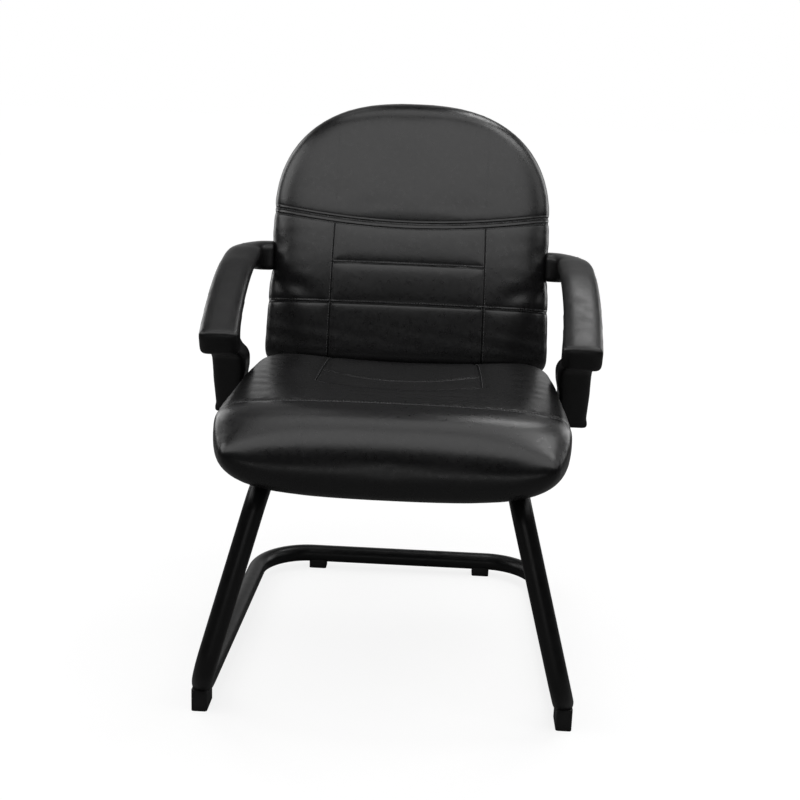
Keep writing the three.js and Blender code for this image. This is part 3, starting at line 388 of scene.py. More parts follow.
# %% [markdown]
# ## Mesh helpers
# Most pieces start as rings of points joined into a closed skin. The helpers here make that
# skin, apply a modifier's result to the mesh, and hand a finished piece to the frame.


# %% Mesh helpers
def mesh_object(name, points, faces, edges=()):
    mesh = bpy.data.meshes.new(name)
    mesh.from_pydata([tuple(p) for p in np.asarray(points).tolist()], list(edges), faces)
    mesh.validate()
    return shown(name, mesh)


def skin_faces(ring_count, ring_size, capped=True):
    """Quads through rings of equal size, and a fan on each end's own middle point."""
    faces = []
    for r in range(ring_count - 1):
        for i in range(ring_size):
            j = (i + 1) % ring_size
            here, after = r * ring_size, (r + 1) * ring_size
            faces.append((here + i, here + j, after + j, after + i))
    if capped:
        first, last = ring_count * ring_size, ring_count * ring_size + 1
        end = (ring_count - 1) * ring_size
        for i in range(ring_size):
            j = (i + 1) % ring_size
            faces.append((first, j, i))
            faces.append((last, end + i, end + j))
    return faces


def lofted(name, rings):
    rings = np.asarray(rings, float)
    points = np.concatenate([rings.reshape(-1, 3), rings[:1].mean(1), rings[-1:].mean(1)])
    return outward(mesh_object(name, points, skin_faces(len(rings), len(rings[0]))))


def reworked(mesh, *changes):
    work = bmesh.new()
    work.from_mesh(mesh)
    for change in changes:
        change(work)
    work.to_mesh(mesh)
    work.free()


def merged_points(distance):
    return lambda work: bmesh.ops.remove_doubles(work, verts=work.verts, dist=distance)


def outward(piece):
    reworked(piece.data, merged_points(1e-6),
             lambda work: bmesh.ops.recalc_face_normals(work, faces=work.faces))
    return piece


def joined(name, meshes):
    """One piece from several meshes."""
    mesh = bpy.data.meshes.new(name)
    reworked(mesh, *(lambda work, part=part: work.from_mesh(part) for part in meshes))
    return shown(name, mesh)


def settled(piece):
    """Replaces a piece's mesh by what its modifiers make of it."""
    graph = bpy.context.evaluated_depsgraph_get()
    mesh = bpy.data.meshes.new_from_object(piece.evaluated_get(graph), depsgraph=graph)
    piece.modifiers.clear()
    piece.data = mesh
    return piece


def with_modifier(piece, kind, **values):
    set_all(piece.modifiers.new(kind.lower(), kind), **values)
    return settled(piece)


def subdivided(piece):
    return with_modifier(piece, "SUBSURF", levels=1, render_levels=1)


def points_of(mesh, source="vertices", key="co"):
    flat = np.zeros(len(mesh.vertices) * 3)
    getattr(mesh, source).foreach_get(key, flat)
    return flat.reshape(-1, 3)


def normals_of(mesh):
    return points_of(mesh, "vertex_normals", "vector")


def move_points(mesh, points):
    mesh.vertices.foreach_set("co", np.ascontiguousarray(points, float).ravel())
    mesh.update()


def edge_ends(mesh):
    ends = np.zeros(len(mesh.edges) * 2, int)
    mesh.edges.foreach_get("vertices", ends)
    return ends.reshape(-1, 2).T


def relaxed(mesh, rounds):
    """Draws every point halfway towards the middle of its neighbours, in each round."""
    a, b = edge_ends(mesh)
    points = points_of(mesh)
    count = np.bincount(np.concatenate([a, b]), minlength=len(points))[:, None]
    for _ in range(rounds):
        total = np.zeros_like(points)
        np.add.at(total, a, points[b])
        np.add.at(total, b, points[a])
        points += 0.5 * (total / np.maximum(count, 1) - points)
    move_points(mesh, points)


def handed_over(piece, material, replaced=(), shade_angle=None):
    piece.data.materials.clear()
    piece.data.materials.append(material)
    for face in piece.data.polygons:
        face.material_index = 0
    piece.data.shade_smooth()
    if shade_angle:
        piece.data.set_sharp_from_angle(angle=math.radians(shade_angle))
    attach(piece, "root")
    if replaced:
        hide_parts(*replaced)
    low, high = points_of(piece.data).min(0), points_of(piece.data).max(0)
    print(piece.name, len(piece.data.polygons), "faces", [round(float(v), 4) for v in (*low, *high)])
    return piece


# %% [markdown]
# ## Things that follow a path
# A bent tube, a piping cord, a row of stitches and a weld bead have one thing in common: they
# follow a line. Geometry Nodes suit them, because one small tree serves every line. The first
# tree sweeps a round bar along a path. The second sets small rounded grains along it at an even
# pitch, which gives stitches when they are long and spaced, and a weld when they overlap.

# %% Trees for paths
def new_tree(name, inputs, **parts):
    """A tree from given geometry to real copies with a finish. What lies between is wired later."""
    tree = bpy.data.node_groups.new(name, "GeometryNodeTree")
    for label, kind in (("Geometry", "Geometry"), *inputs, ("Finish", "Material")):
        tree.interface.new_socket(label, in_out="INPUT", socket_type="NodeSocket" + kind)
    tree.interface.new_socket("Geometry", in_out="OUTPUT", socket_type="NodeSocketGeometry")
    made = Wiring(tree, given="NodeGroupInput", made="NodeGroupOutput",
                  real="GeometryNodeRealizeInstances", dress="GeometryNodeSetMaterial", **parts)
    made.link("real.Geometry > dress.Geometry, given.Finish > dress.Material,"
              "dress.Geometry > made.Geometry")
    return made


swept_bar = new_tree(
    "round_bar_along_path", (("Radius", "Float"), ("Sides", "Int")),
    curve="GeometryNodeMeshToCurve", circle="GeometryNodeCurvePrimitiveCircle",
    sweep=("GeometryNodeCurveToMesh", {"Fill_Caps": True}))
swept_bar.link("""
    given.Geometry > curve.Mesh, given.Radius > circle.Radius, given.Sides > circle.Resolution,
    curve.Curve > sweep.Curve, circle.Curve > sweep.Profile Curve, sweep.Mesh > real.Geometry""")

SMALLEST_GRAIN, LARGEST_GRAIN = 0.90, 1.06
grain_row = new_tree(
    "grains_along_path",
    (("Pitch", "Float"), ("Length", "Float"), ("Width", "Float"), ("Height", "Float"), ("Seed", "Int")),
    curve="GeometryNodeMeshToCurve", spaced=("GeometryNodeResampleCurve", {"mode": "LENGTH"}),
    tangent="GeometryNodeInputTangent",
    turned=("FunctionNodeAlignRotationToVector", {"axis": "X"}),
    grain=("GeometryNodeMeshUVSphere", {"Segments": 6, "Rings": 5, "Radius": 0.5}),
    size="ShaderNodeCombineXYZ", shaped="GeometryNodeTransform",
    vary=("FunctionNodeRandomValue", {"data_type": "FLOAT", "_2": SMALLEST_GRAIN, "_3": LARGEST_GRAIN}),
    scattered="GeometryNodeInstanceOnPoints")
grain_row.link("""
    given.Geometry > curve.Mesh, curve.Curve > spaced.Curve, given.Pitch > spaced.Length,
    tangent.Tangent > turned.Vector, given.Length > size.X, given.Width > size.Y,
    given.Height > size.Z, grain.Mesh > shaped.Geometry, size.Vector > shaped.Scale,
    given.Seed > vary.Seed, spaced.Curve > scattered.Points, shaped.Geometry > scattered.Instance,
    turned.Rotation > scattered.Rotation, vary.1 > scattered.Scale,
    scattered.Instances > real.Geometry""")


def path_object(name, runs):
    """Lines of points, given in metres, as one mesh of edges."""
    points, edges = [], []
    for run in runs:
        start = len(points)
        points.extend(run)
        edges.extend((start + i, start + i + 1) for i in range(len(run) - 1))
    return mesh_object(name, points, [], edges)


def grown(piece, wiring, **values):
    modifier = piece.modifiers.new("grown", "NODES")
    modifier.node_group = wiring.tree
    for item in wiring.tree.interface.items_tree:
        if item.in_out == "INPUT" and item.name in values:
            modifier[item.identifier] = values[item.name]
    return settled(piece)


print("trees:", swept_bar.tree.name, grain_row.tree.name)

# %% [markdown]
# ## The sled base
# One steel tube makes the whole base. It starts under the seat as a rail, turns down into a
# front leg, turns back along the floor, crosses behind and returns the same way on the other
# side. A bender turns each corner round a former, so each corner here becomes an arc between
# two straights, and the sweep follows it.

# %% The tube's path
TUBE_RADIUS = 16.0
RAIL_HALF, RAIL_HEIGHT, RAIL_FRONT, RAIL_REAR = 184.0, 368.0, 36.0, 418.0
FOOT_HALF, FOOT_CORNER, RUNNER_HEIGHT = 276.0, -24.0, 26.0
REAR_HALF, CROSSBAR_DEPTH = 266.0, 595.0
RAIL_BEND, FOOT_BEND, REAR_BEND = 70.0, 70.0, 98.0
BEND_STEPS = 28

half_corners = (
    (RAIL_HALF, RAIL_REAR, RAIL_HEIGHT, 0),
    (RAIL_HALF, RAIL_FRONT, RAIL_HEIGHT, RAIL_BEND),
    (FOOT_HALF, FOOT_CORNER, RUNNER_HEIGHT, FOOT_BEND),
    (REAR_HALF, CROSSBAR_DEPTH, RUNNER_HEIGHT, REAR_BEND),
)


def bent_path(corners, radii, steps):
    corners = [Vector(c) for c in corners]
    path = [corners[0]]
    for i in range(1, len(corners) - 1):
        before = (corners[i] - corners[i - 1]).normalized()
        after = (corners[i + 1] - corners[i]).normalized()
        turn = before.angle(after)
        axis = before.cross(after).normalized()
        inward = axis.cross(before)
        hub = corners[i] - before * radii[i] * math.tan(turn / 2) + inward * radii[i]
        for step in range(steps + 1):
            arm = -inward * radii[i]
            arm.rotate(Matrix.Rotation(turn * step / steps, 3, axis))
            path.append(hub + arm)
    path.append(corners[-1])
    return path


left_half = [(-x, y, z) for x, y, z, _ in half_corners]
right_half = [(x, y, z) for x, y, z, _ in reversed(half_corners)]
bend_radii = [r for *_, r in half_corners] + [r for *_, r in reversed(half_corners)]
tube_path = placed(bent_path(left_half + right_half, bend_radii, BEND_STEPS))
tube = outward(grown(path_object("sled_frame_tube", [tube_path]), swept_bar,
                     Radius=TUBE_RADIUS * MM, Sides=56, Finish=frame_paint))
handed_over(tube, frame_paint, ["sled_tube"], shade_angle=50)

# %% [markdown]
# Two flat plates cross the rails and carry the seat board. They are welded to each rail along
# both sides of the tube. A weld laid by hand shows as a row of small overlapping ripples.

# %% Weld beads
PLATE_DEPTHS = (130.0, 378.0)
PLATE_HALF_DEPTH, PLATE_UNDERSIDE = 20.0, 381.0
BEAD_ASIDE, BEAD_END, BEAD_SUNK = 9.6, 2.5, 0.4
bead_half = PLATE_HALF_DEPTH - BEAD_END
weld_runs = [
    placed(columns(sign * RAIL_HALF + aside, depth + np.linspace(-bead_half, bead_half, 16),
                   PLATE_UNDERSIDE - BEAD_SUNK))
    for depth in PLATE_DEPTHS for _, sign in SIDES for aside in (-BEAD_ASIDE, BEAD_ASIDE)
]
welds = grown(path_object("plate_weld_beads", weld_runs), grain_row,
              Pitch=0.0022, Length=0.0046, Width=0.0052, Height=0.0044, Seed=3, Finish=frame_paint)
handed_over(welds, frame_paint)

# %% [markdown]
# Glides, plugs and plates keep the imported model's shape. A copy with its loose triangles merged
# and a small rounding on its edges catches the light as a real moulding or a tumbled plate does.


# %% Rounded copies of small rigid pieces
def rounded_copy(node, name, material, edge):
    copy = shown(name, nodes[node].data.copy())
    reworked(copy.data, merged_points(2e-6), lambda work: bmesh.ops.dissolve_limit(
        work, angle_limit=math.radians(1.5), verts=work.verts, edges=work.edges))
    with_modifier(copy, "BEVEL", width=edge * MM, segments=2, limit_method="ANGLE",
                  angle_limit=math.radians(50), harden_normals=False)
    reworked(copy.data, lambda work: bmesh.ops.triangulate(
        work, faces=[f for f in work.faces if len(f.verts) > 4]))
    handed_over(copy, material, [node], 35)


for end in ("front", "rear"):
    rounded_copy(f"{end}_cross_plate", f"{end}_seat_plate", frame_paint, 0.8)
    for side, _ in SIDES:
        rounded_copy(f"{end}_glide_{side}", f"{end}_foot_glide_{side}", glide_plastic, 1.2)

# %% [markdown]
# The open rail ends are closed by plastic plugs with a slightly domed cap. A turned shape is
# the natural way to make them: a profile spun round the rail's axis.


# %% Rail plugs
def turned(name, profile, centre, axis, sides=40):
    """A profile of (radius, along) spun round an axis through centre, in millimetres."""
    axis = Vector(axis).normalized()
    across = axis.orthogonal().normalized()
    other = axis.cross(across)
    rings = []
    for radius, along in profile:
        rings.append([
            Vector(centre) + axis * along
            + across * radius * math.cos(2 * math.pi * i / sides)
            + other * radius * math.sin(2 * math.pi * i / sides)
            for i in range(sides)
        ])
    return lofted(name, [placed(ring) for ring in rings])


plug_profile = [(13.0, -22), (13.4, -20), (13.4, 0.3), (15.4, 0.3), (16, 0.9), (16, 3.2), (15.4, 4.3),
                (13.6, 5.0), (10, 5.5), (5, 5.9), (0.6, 6.0)]
for side, sign in SIDES:
    plug = turned(f"rail_end_plug_{side}", plug_profile,
                  (sign * RAIL_HALF, RAIL_REAR, RAIL_HEIGHT), (0, 1, 0))
    handed_over(plug, glide_plastic, [f"rail_plug_{side}"], 40)

# %% [markdown]
# Eight button-head bolts hold the board: four through the plates and four through the feet of
# the arms. Four short screws hold the glides. Each kind is one turned shape with a hexagon
# socket, so it is made once and set on its points by a small tree.


# %% A tree that sets one shape on many points
copies_on_points = new_tree(
    "copies_on_points", (("Shape", "Object"),),
    info="GeometryNodeObjectInfo", scattered="GeometryNodeInstanceOnPoints")
copies_on_points.link("""
    given.Geometry > scattered.Points, given.Shape > info.Object,
    info.Geometry > scattered.Instance, scattered.Instances > real.Geometry""")


def circle(radius, height, count):
    """A level ring of points for lofting. The radius can be a function of the angle."""
    ring = []
    for i in range(count):
        angle = 2 * math.pi * i / count
        reach = radius(angle) if callable(radius) else radius
        ring.append((reach * math.cos(angle), reach * math.sin(angle), height))
    return ring


def bolt_shape(name, profile, socket_radius, socket_depth, face_radius):
    """A turned bolt, head down, with a hexagon sunk in its face."""
    def hexagon(angle):
        within = (angle + math.pi / 6) % (math.pi / 3) - math.pi / 6
        return socket_radius * math.cos(math.pi / 6) / math.cos(within)

    face = profile[0][1]
    rings = [(hexagon, face + socket_depth), (hexagon, face + 0.15), (face_radius, face), *profile]
    return lofted(name, np.asarray([circle(radius, height, 24) for radius, height in rings]) * MM)


bolt_profile = [(4.2, -3.6), (5.2, -3.2), (5.9, -2.2), (6.0, 0.0), (3.0, 0.0), (3.0, 16.0), (2.6, 16.6)]
screw_profile = [(2.8, -2.5), (3.6, -2.1), (4.0, -1.2), (4.0, 0.0), (2.0, 0.0), (2.0, 19.0), (0.4, 21.0)]


def fasteners(name, shape_profile, socket, word, under):
    """One fastener under each node named with a word, its head face at the node's lowest point."""
    node_names = sorted(n for n in nodes if word in n)
    head = -shape_profile[0][1]
    shape = bolt_shape(name + "_shape", shape_profile, socket, head * 0.55, socket + 0.6)
    places = []
    for node in node_names:
        low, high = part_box(node)
        places.append(((low.x + high.x) / 2, (low.y + high.y) / 2, low.z + head * MM))
    holder = mesh_object(name, places, [])
    grown(holder, copies_on_points, Shape=shape, Finish=zinc_steel)
    bpy.data.objects.remove(shape)
    print(name, len(places), "pieces under", under)
    handed_over(outward(holder), zinc_steel, node_names, 35)


fasteners("seat_fixing_bolts", bolt_profile, 2.3, "seat_bolt_", "the plates and arm feet")
fasteners("glide_fixing_screws", screw_profile, 1.7, "glide_screw_", "the glides")

# %% [markdown]
# ## Cushions
# A stuffed cushion is foam under a sewn cover. Its panels swell between the seams, and each
# seam is pulled down. The way to get that is to start from a slightly smaller form, divide it
# into small even cells, and let cloth under pressure blow it up while the sewn lines and the
# side on the board are held. The motion is capped, so the cushion stays the size it has.
# The fine groove of each seam and its stitches come after, on the smoother mesh.


# %% Blowing up a form
CELL = 0.005
PRESSURE = 4.0
FRAMES = 20
DRAWN_DOWN = 0.14
HOLD_LEVELS = 10


def even_cells(piece, size=CELL):
    return with_modifier(piece, "REMESH", mode="VOXEL", voxel_size=size, use_smooth_shade=True)


def spread(mesh, values, rounds):
    """Evens a number a point out over its neighbours, so that single cells don't show."""
    a, b = edge_ends(mesh)
    count = np.bincount(np.concatenate([a, b]), minlength=len(values))
    for _ in range(rounds):
        total = np.bincount(a, values[b], len(values)) + np.bincount(b, values[a], len(values))
        values = 0.4 * values + 0.6 * total / np.maximum(count, 1)
    return values


def cloth_swell(piece, held, start, outwards):
    """How far each point moves outwards in metres when cloth under pressure is let go."""
    group = piece.vertex_groups.new(name="sewn_or_on_board")
    for level in range(1, HOLD_LEVELS + 1):
        chosen = np.nonzero(np.round(held * HOLD_LEVELS) == level)[0].tolist()
        if chosen:
            group.add(chosen, level / HOLD_LEVELS, "REPLACE")
    cloth = piece.modifiers.new("stuffing", "CLOTH")
    set_all(cloth.settings, quality=6, mass=0.3, tension_stiffness=20, compression_stiffness=20,
            shear_stiffness=8, bending_stiffness=0.6, use_pressure=True,
            uniform_pressure_force=PRESSURE, vertex_group_mass=group.name)
    cloth.settings.effector_weights.gravity = 0
    set_all(cloth.collision_settings, use_collision=False, use_self_collision=False)
    set_all(cloth.point_cache, frame_start=1, frame_end=FRAMES)
    scene = bpy.context.scene
    for number in range(1, FRAMES + 1):
        scene.frame_set(number)
    graph = bpy.context.evaluated_depsgraph_get()
    end = points_of(piece.evaluated_get(graph).data)
    piece.modifiers.clear()
    piece.vertex_groups.clear()
    scene.frame_set(1)
    return ((end - start) * outwards).sum(1)


def blown_up(piece, sewn, fixed, inset, cap):
    """Cloth under pressure from a form that starts smaller by inset, in metres.

    sewn and fixed are 0 to 1 a point: on a sewn line, and on the board. The cloth only adds to
    the size that the form was drawn in by, and no point moves further than cap.
    """
    start, outwards = points_of(piece.data), normals_of(piece.data)
    swell = np.zeros(len(start))
    swell = cloth_swell(piece, np.clip(np.maximum(sewn, fixed), 0, 1), start, outwards)
    print(piece.name, "cloth moved out", round(float(swell.max()) * 1000, 1), "mm at most,",
          round(float(swell.mean()) * 1000, 1), "mm on average")
    swell = spread(piece.data, np.maximum(swell, 0), 10)
    room = cap - inset
    full = inset * (1 - DRAWN_DOWN * sewn) + room * np.tanh(swell * 0.5 / room) * (1 - sewn)
    move_points(piece.data, start + outwards * (full * (1 - fixed))[:, None])


# %% [markdown]
# ### The seat
# The seat is broad at the front and slightly narrower behind. Its front rolls over the edge in
# one full curve and hangs below the board. A seam runs across behind the roll. Two curved seams
# and two straight ones mark out the middle panel, which dips towards the back where one sits.

# %% Seat form
SEAT_HALF, SEAT_WAIST, SEAT_REAR_HALF = 263.0, 260.0, 252.0
SEAT_FRONT, SEAT_REAR, SEAT_TOP = -36.0, 451.0, 474.0
SEAT_DIP, SEAT_CROWN, SEAT_DISH = 12.0, 5.0, 12.0
ROLL_BOTTOM, ROLL_MIDDLE, ROLL_DROP, TAIL_SPAN = 350.0, 412.0, 28.0, 34.0
ROLL_SPAN, LIP_SPAN = 84.0, 30.0
COVER_BOTTOM = 386.9
SEAT_SEAM, SEAT_LINE_A, SEAT_LINE_B = 78.0, 188.0, 268.0
SEAT_SWEEP, PANEL_HALF = 46.0, 133.0
BOARD_FRONT_HALF, BACK_CROWN = 240.0, 16.0
ROUND, SOFT, TIGHT, SQUARE = 2.15, 2.3, 3.4, 5.0
RING_HALF = 81
ring_shares = np.sin(np.linspace(-math.pi / 2, math.pi / 2, RING_HALF))


def rounded_ends(start, count):
    """Steps from 0 to 1 that are close together first, for a rounded end."""
    return 1 - np.cos(np.linspace(start, math.pi / 2, count))


def stations(low, low_span, high, high_span, ends, count):
    """Places along a cushion: close together over its two rounded ends, even between them."""
    return np.unique(np.concatenate([
        low + ends * low_span, np.linspace(low + low_span, high - high_span, count), high - ends * high_span]))


def seat_half_width(y):
    straight = (SEAT_HALF + (SEAT_WAIST - SEAT_HALF) * smooth(SEAT_SEAM, SEAT_LINE_B, y)
                + (SEAT_REAR_HALF - SEAT_WAIST) * smooth(SEAT_LINE_B, SEAT_REAR, y))
    return straight * fullness(SEAT_SEAM - y, 250, 2) * fullness(y - SEAT_REAR + 68, 136, 2)


def seat_form(name, inset, floor):
    front, rear = SEAT_FRONT + inset, SEAT_REAR - inset
    shares = ring_shares
    board_share = BOARD_FRONT_HALF / SEAT_HALF
    flat = fullness(abs(shares) - board_share, 1 - board_share, SOFT)
    rings = []
    for y in stations(front, ROLL_SPAN, rear, TAIL_SPAN, rounded_ends(0.02, 16), 44):
        nose = float(fullness(front + ROLL_SPAN - y, ROLL_SPAN, ROUND))
        tail = float(fullness(y - rear + TAIL_SPAN, TAIL_SPAN, SOFT))
        half = float(seat_half_width(y)) - inset
        roll = 1 - float(smooth(SEAT_FRONT + LIP_SPAN, SEAT_SEAM - 9, y))
        middle = blend((floor + SEAT_TOP) / 2, ROLL_MIDDLE - ROLL_DROP * (1 - shares ** 4), roll)
        bottom = blend(floor, ROLL_BOTTOM + inset, roll)
        back_share = float(smooth(SEAT_SEAM, SEAT_LINE_B, y))
        upper = (SEAT_TOP - SEAT_DIP * back_share - inset - middle) * nose * tail
        lower = (middle - bottom) * float(fullness(front + LIP_SPAN - y, LIP_SPAN, 2))
        crown = blend(SEAT_CROWN, -SEAT_DISH, back_share) * nose * tail
        tuck = BACK_CROWN * float(smooth(SEAT_LINE_B, SEAT_REAR, y)) * (1 - shares ** 2)
        sides = fullness(abs(shares), 1, blend(SQUARE, TIGHT, roll))
        top = middle + (upper - crown * shares ** 2) * sides
        under = middle - lower * blend(flat, fullness(abs(shares), 1, SOFT), roll)
        over_ring = columns(shares * half, y - tuck, np.maximum(top, middle))
        under_ring = columns(shares * half, y - tuck, under)[-2:0:-1]
        rings.append(placed(np.concatenate([over_ring, under_ring])))
    return lofted(name, rings)


def seat_lines(points):
    """Signed distance in millimetres to each sewn line of the seat, from above, and where it runs."""
    x, y = points[:, 0] / MM, depth_of(points)
    half = seat_half_width(np.clip(y, SEAT_FRONT, SEAT_REAR))
    line_half = half * PANEL_HALF / SEAT_HALF
    reach = np.minimum(1, abs(x) / line_half)
    sweep = SEAT_SWEEP * reach ** 2
    inside = 1 - smooth(line_half + 1, line_half + 6, abs(x))
    behind = smooth(SEAT_LINE_A + SEAT_SWEEP - 6, SEAT_LINE_A + SEAT_SWEEP, y)
    return (
        (y - SEAT_SEAM, np.ones_like(x)),
        (y - SEAT_LINE_A - sweep, inside),
        (y - SEAT_LINE_B - sweep, inside),
        (abs(x) - line_half, behind),
    )


def pulled(lines, width):
    """How strongly the nearest sewn line holds a point: 1 on the line."""
    return np.max([bump_of(distance, width) * share for distance, share in lines], axis=0)


DRAWN_IN = 6.0
SEAT_CAP, SEAT_SEWN_WIDTH = 0.0095, 7.0
SEAT_LOW = COVER_BOTTOM * MM
seat = seat_form("leather_seat", DRAWN_IN, COVER_BOTTOM)
even_cells(seat)
relaxed(seat.data, 3)
seat_points = points_of(seat.data)
seat_sewn = pulled(seat_lines(seat_points), SEAT_SEWN_WIDTH) * smooth(0.425, 0.440, seat_points[:, 2])
on_board = (seat_points[:, 2] < SEAT_LOW + 0.003) & (depth_of(seat_points) > 70)
against_back = smooth(424, 440, depth_of(seat_points))
seat_fixed = np.maximum(on_board.astype(float), against_back)
blown_up(seat, seat_sewn, seat_fixed, DRAWN_IN * MM, SEAT_CAP)
print("seat cells:", len(seat.data.vertices))

# %% [markdown]
# One subdivision makes the leather smooth. Each seam is a shallow valley in the mesh. The fine
# line in it is finer than the mesh, so the mesh keeps every point's distance to the line, and
# the leather's own relief draws it, with painted shade darkening the groove's colour. Short folds
# run off the front seam, and long shallow ones lie along the sides and across the middle.

# %% Seat seams and folds
FAR = 60.0


def seamed(piece, lines, sink, depth, width):
    """Draws the sewn lines down, and keeps each line's signed distance on the mesh for the leather."""
    points, normals = points_of(piece.data), normals_of(piece.data)
    shown_here = sink(points)
    kept = np.full((len(points), 6), FAR)
    for column, (distance, share) in enumerate(lines(points)):
        far = FAR * (1 - share * shown_here)
        kept[:, column] = distance + np.where(distance < 0, -far, far)
    for name, three in (("lines_a", kept[:, :3]), ("lines_b", kept[:, 3:])):
        noted = piece.data.attributes.new(name, "FLOAT_VECTOR", "POINT")
        noted.data.foreach_set("vector", np.ascontiguousarray(three, np.float32).ravel())
    move = -pulled(lines(points), width) * depth * shown_here * MM
    move_points(piece.data, points + normals * move[:, None])


def seat_sink(points):
    return smooth(0.400, 0.425, points[:, 2])


subdivided(seat)
relaxed(seat.data, 2)
seamed(seat, seat_lines, seat_sink, 1.5, 3.4)
seat_points, seat_normals = points_of(seat.data), normals_of(seat.data)
rows, across = depth_of(seat_points), seat_points[:, 0] / MM
on_top = smooth(0.44, 0.46, seat_points[:, 2])
folds = (np.sin(across * 0.23 + 1.7 * np.sin(across * 0.031)) * np.sin(across * 0.079 + 0.6)
         * (bump_of(rows - SEAT_SEAM - 9, 8) + 0.7 * bump_of(rows - SEAT_SEAM + 10, 9)) * on_top)
long_folds = (np.sin(rows * 0.16 + across * 0.05) * bump_of(abs(across) - 205, 32)
              * smooth(120, 200, rows) * on_top)
cross_folds = (np.sin(rows * 0.19 + 0.9 * np.sin(across * 0.021) + across * 0.008)
               * (0.5 + 0.5 * np.sin(across * 0.017 + 1.1)) * bump_of(rows - 128, 34) * on_top)
creased = 0.45 * folds + 0.35 * long_folds + 0.75 * cross_folds
move_points(seat.data, seat_points + seat_normals * (creased * MM)[:, None])

# %% [markdown]
# Below, the cover is turned over the board's edge. Inside that edge it lies deeper, which
# leaves the room in which the dust cloth is stapled.

# %% Room for the dust cloth
RECESS_FRONT, RECESS_REAR, RECESS_DEPTH = 48, 402, 2.9
under = points_of(seat.data)
rows = depth_of(under)
board_reach = blend(218.0, 216.0, smooth(RECESS_FRONT, RECESS_REAR, rows))
recess = (
    (1 - smooth(board_reach - 2, board_reach + 1, abs(under[:, 0]) / MM))
    * smooth(RECESS_FRONT, RECESS_FRONT + 3, rows)
    * (1 - smooth(RECESS_REAR - 2, RECESS_REAR + 1, rows))
    * (under[:, 2] < SEAT_LOW + 0.004)
)
under[:, 2] += recess * RECESS_DEPTH * MM
move_points(seat.data, under)
handed_over(seat, sewn_leather, ["seat_cover", "seat_foam"])

# %% [markdown]
# ### The back
# The back leans fourteen degrees. It has straight sides, a domed top and a rounded foot. A
# curved seam with a narrow band under it divides the smooth head part from the lower part,
# where two upright seams and two cross seams mark out panels. It is shaped upright, in its own
# frame, and leaned once it is sewn.

# %% Back form
RECLINE = math.radians(14)
BACK_FOOT_DEPTH, BACK_FOOT_HEIGHT = 440.0, 432.0
BACK_HEIGHT, BACK_SHOULDER = 488.0, 276.0
BACK_LOW_HALF, BACK_HIGH_HALF = 256.0, 248.0
BACK_THICK, BACK_TOP_CROWN = 84.0, 8.0
BACK_FOOT_ROUND, BACK_CORNER, BACK_TOP_ROUND, BACK_REAR_ROUND = 34.0, 34.0, 46.0, 12.0
BACK_MIDDLE = BACK_THICK * 0.56
BACK_SEAM, BACK_SAG, BACK_BAND = 293.0, 27.0, 9.5
BACK_PANEL_HALF, BACK_LINE_HIGH, BACK_LINE_LOW = 132.0, 193.0, 123.0
BACK_BOARD_INSET = 26.0
DOMED = 2.42


def leaned(points):
    """The back's own millimetres to metres in the shared frame."""
    x, y, z = np.asarray(points, float).reshape(-1, 3).T
    cos, sin = math.cos(RECLINE), math.sin(RECLINE)
    return placed(columns(x, BACK_FOOT_DEPTH + y * cos + z * sin, BACK_FOOT_HEIGHT - y * sin + z * cos))


def unleaned(points):
    """Metres in the shared frame to the back's own millimetres."""
    y, z = depth_of(points) - BACK_FOOT_DEPTH, points[:, 2] / MM - BACK_FOOT_HEIGHT
    cos, sin = math.cos(RECLINE), math.sin(RECLINE)
    return columns(points[:, 0] / MM, y * cos - z * sin, y * sin + z * cos)


def back_half_width(z, inset=0.0):
    straight = blend(BACK_LOW_HALF, BACK_HIGH_HALF, np.minimum(1, z / BACK_SHOULDER))
    dome = fullness(z - BACK_SHOULDER, BACK_HEIGHT - inset - BACK_SHOULDER, DOMED)
    corner = BACK_CORNER * (1 - fullness(BACK_CORNER - (z - inset), BACK_CORNER, 2))
    return (straight - inset) * dome - corner


def back_stations(inset, ends, count):
    top = BACK_HEIGHT - inset
    return stations(inset, BACK_CORNER, top, top - BACK_SHOULDER, ends, count)


def back_form(name, inset, rear):
    top = BACK_HEIGHT - inset
    shares = ring_shares
    board_share = 1 - BACK_BOARD_INSET / BACK_LOW_HALF
    flat = fullness(abs(shares) - board_share, 1 - board_share, SOFT)
    seam_middle = BACK_SEAM - BACK_SAG

    def ends_at(z, foot_round, top_round, power):
        return float(fullness(foot_round - (z - inset), foot_round, power)
                     * fullness(z - (top - top_round), top_round, power))

    rings = []
    for z in back_stations(inset, rounded_ends(0.03, 22), 34):
        sag = BACK_SAG * float(smooth(BACK_LINE_HIGH + 9, seam_middle, z) * (
            1 - smooth(seam_middle, BACK_HEIGHT - BACK_TOP_ROUND, z)))
        half = float(back_half_width(min(z + sag, top - 0.2), inset))
        end = ends_at(z, BACK_FOOT_ROUND, BACK_TOP_ROUND, SOFT)
        rim = ends_at(z, BACK_REAR_ROUND, BACK_REAR_ROUND, 2)
        puff = blend(BACK_CROWN, BACK_TOP_CROWN, float(smooth(BACK_SHOULDER, BACK_HEIGHT, z)))
        full = (BACK_MIDDLE + puff * (1 - shares ** 2) - inset) * fullness(abs(shares), 1, TIGHT)
        behind = (rear - BACK_MIDDLE) * flat * rim
        rise = z + sag * shares ** 2
        front_ring = columns(shares * half, BACK_MIDDLE - np.maximum(full, 0) * end, rise)
        rear_ring = columns(shares * half, BACK_MIDDLE + behind, rise)[-2:0:-1]
        rings.append(leaned(np.concatenate([front_ring, rear_ring])))
    return lofted(name, rings)


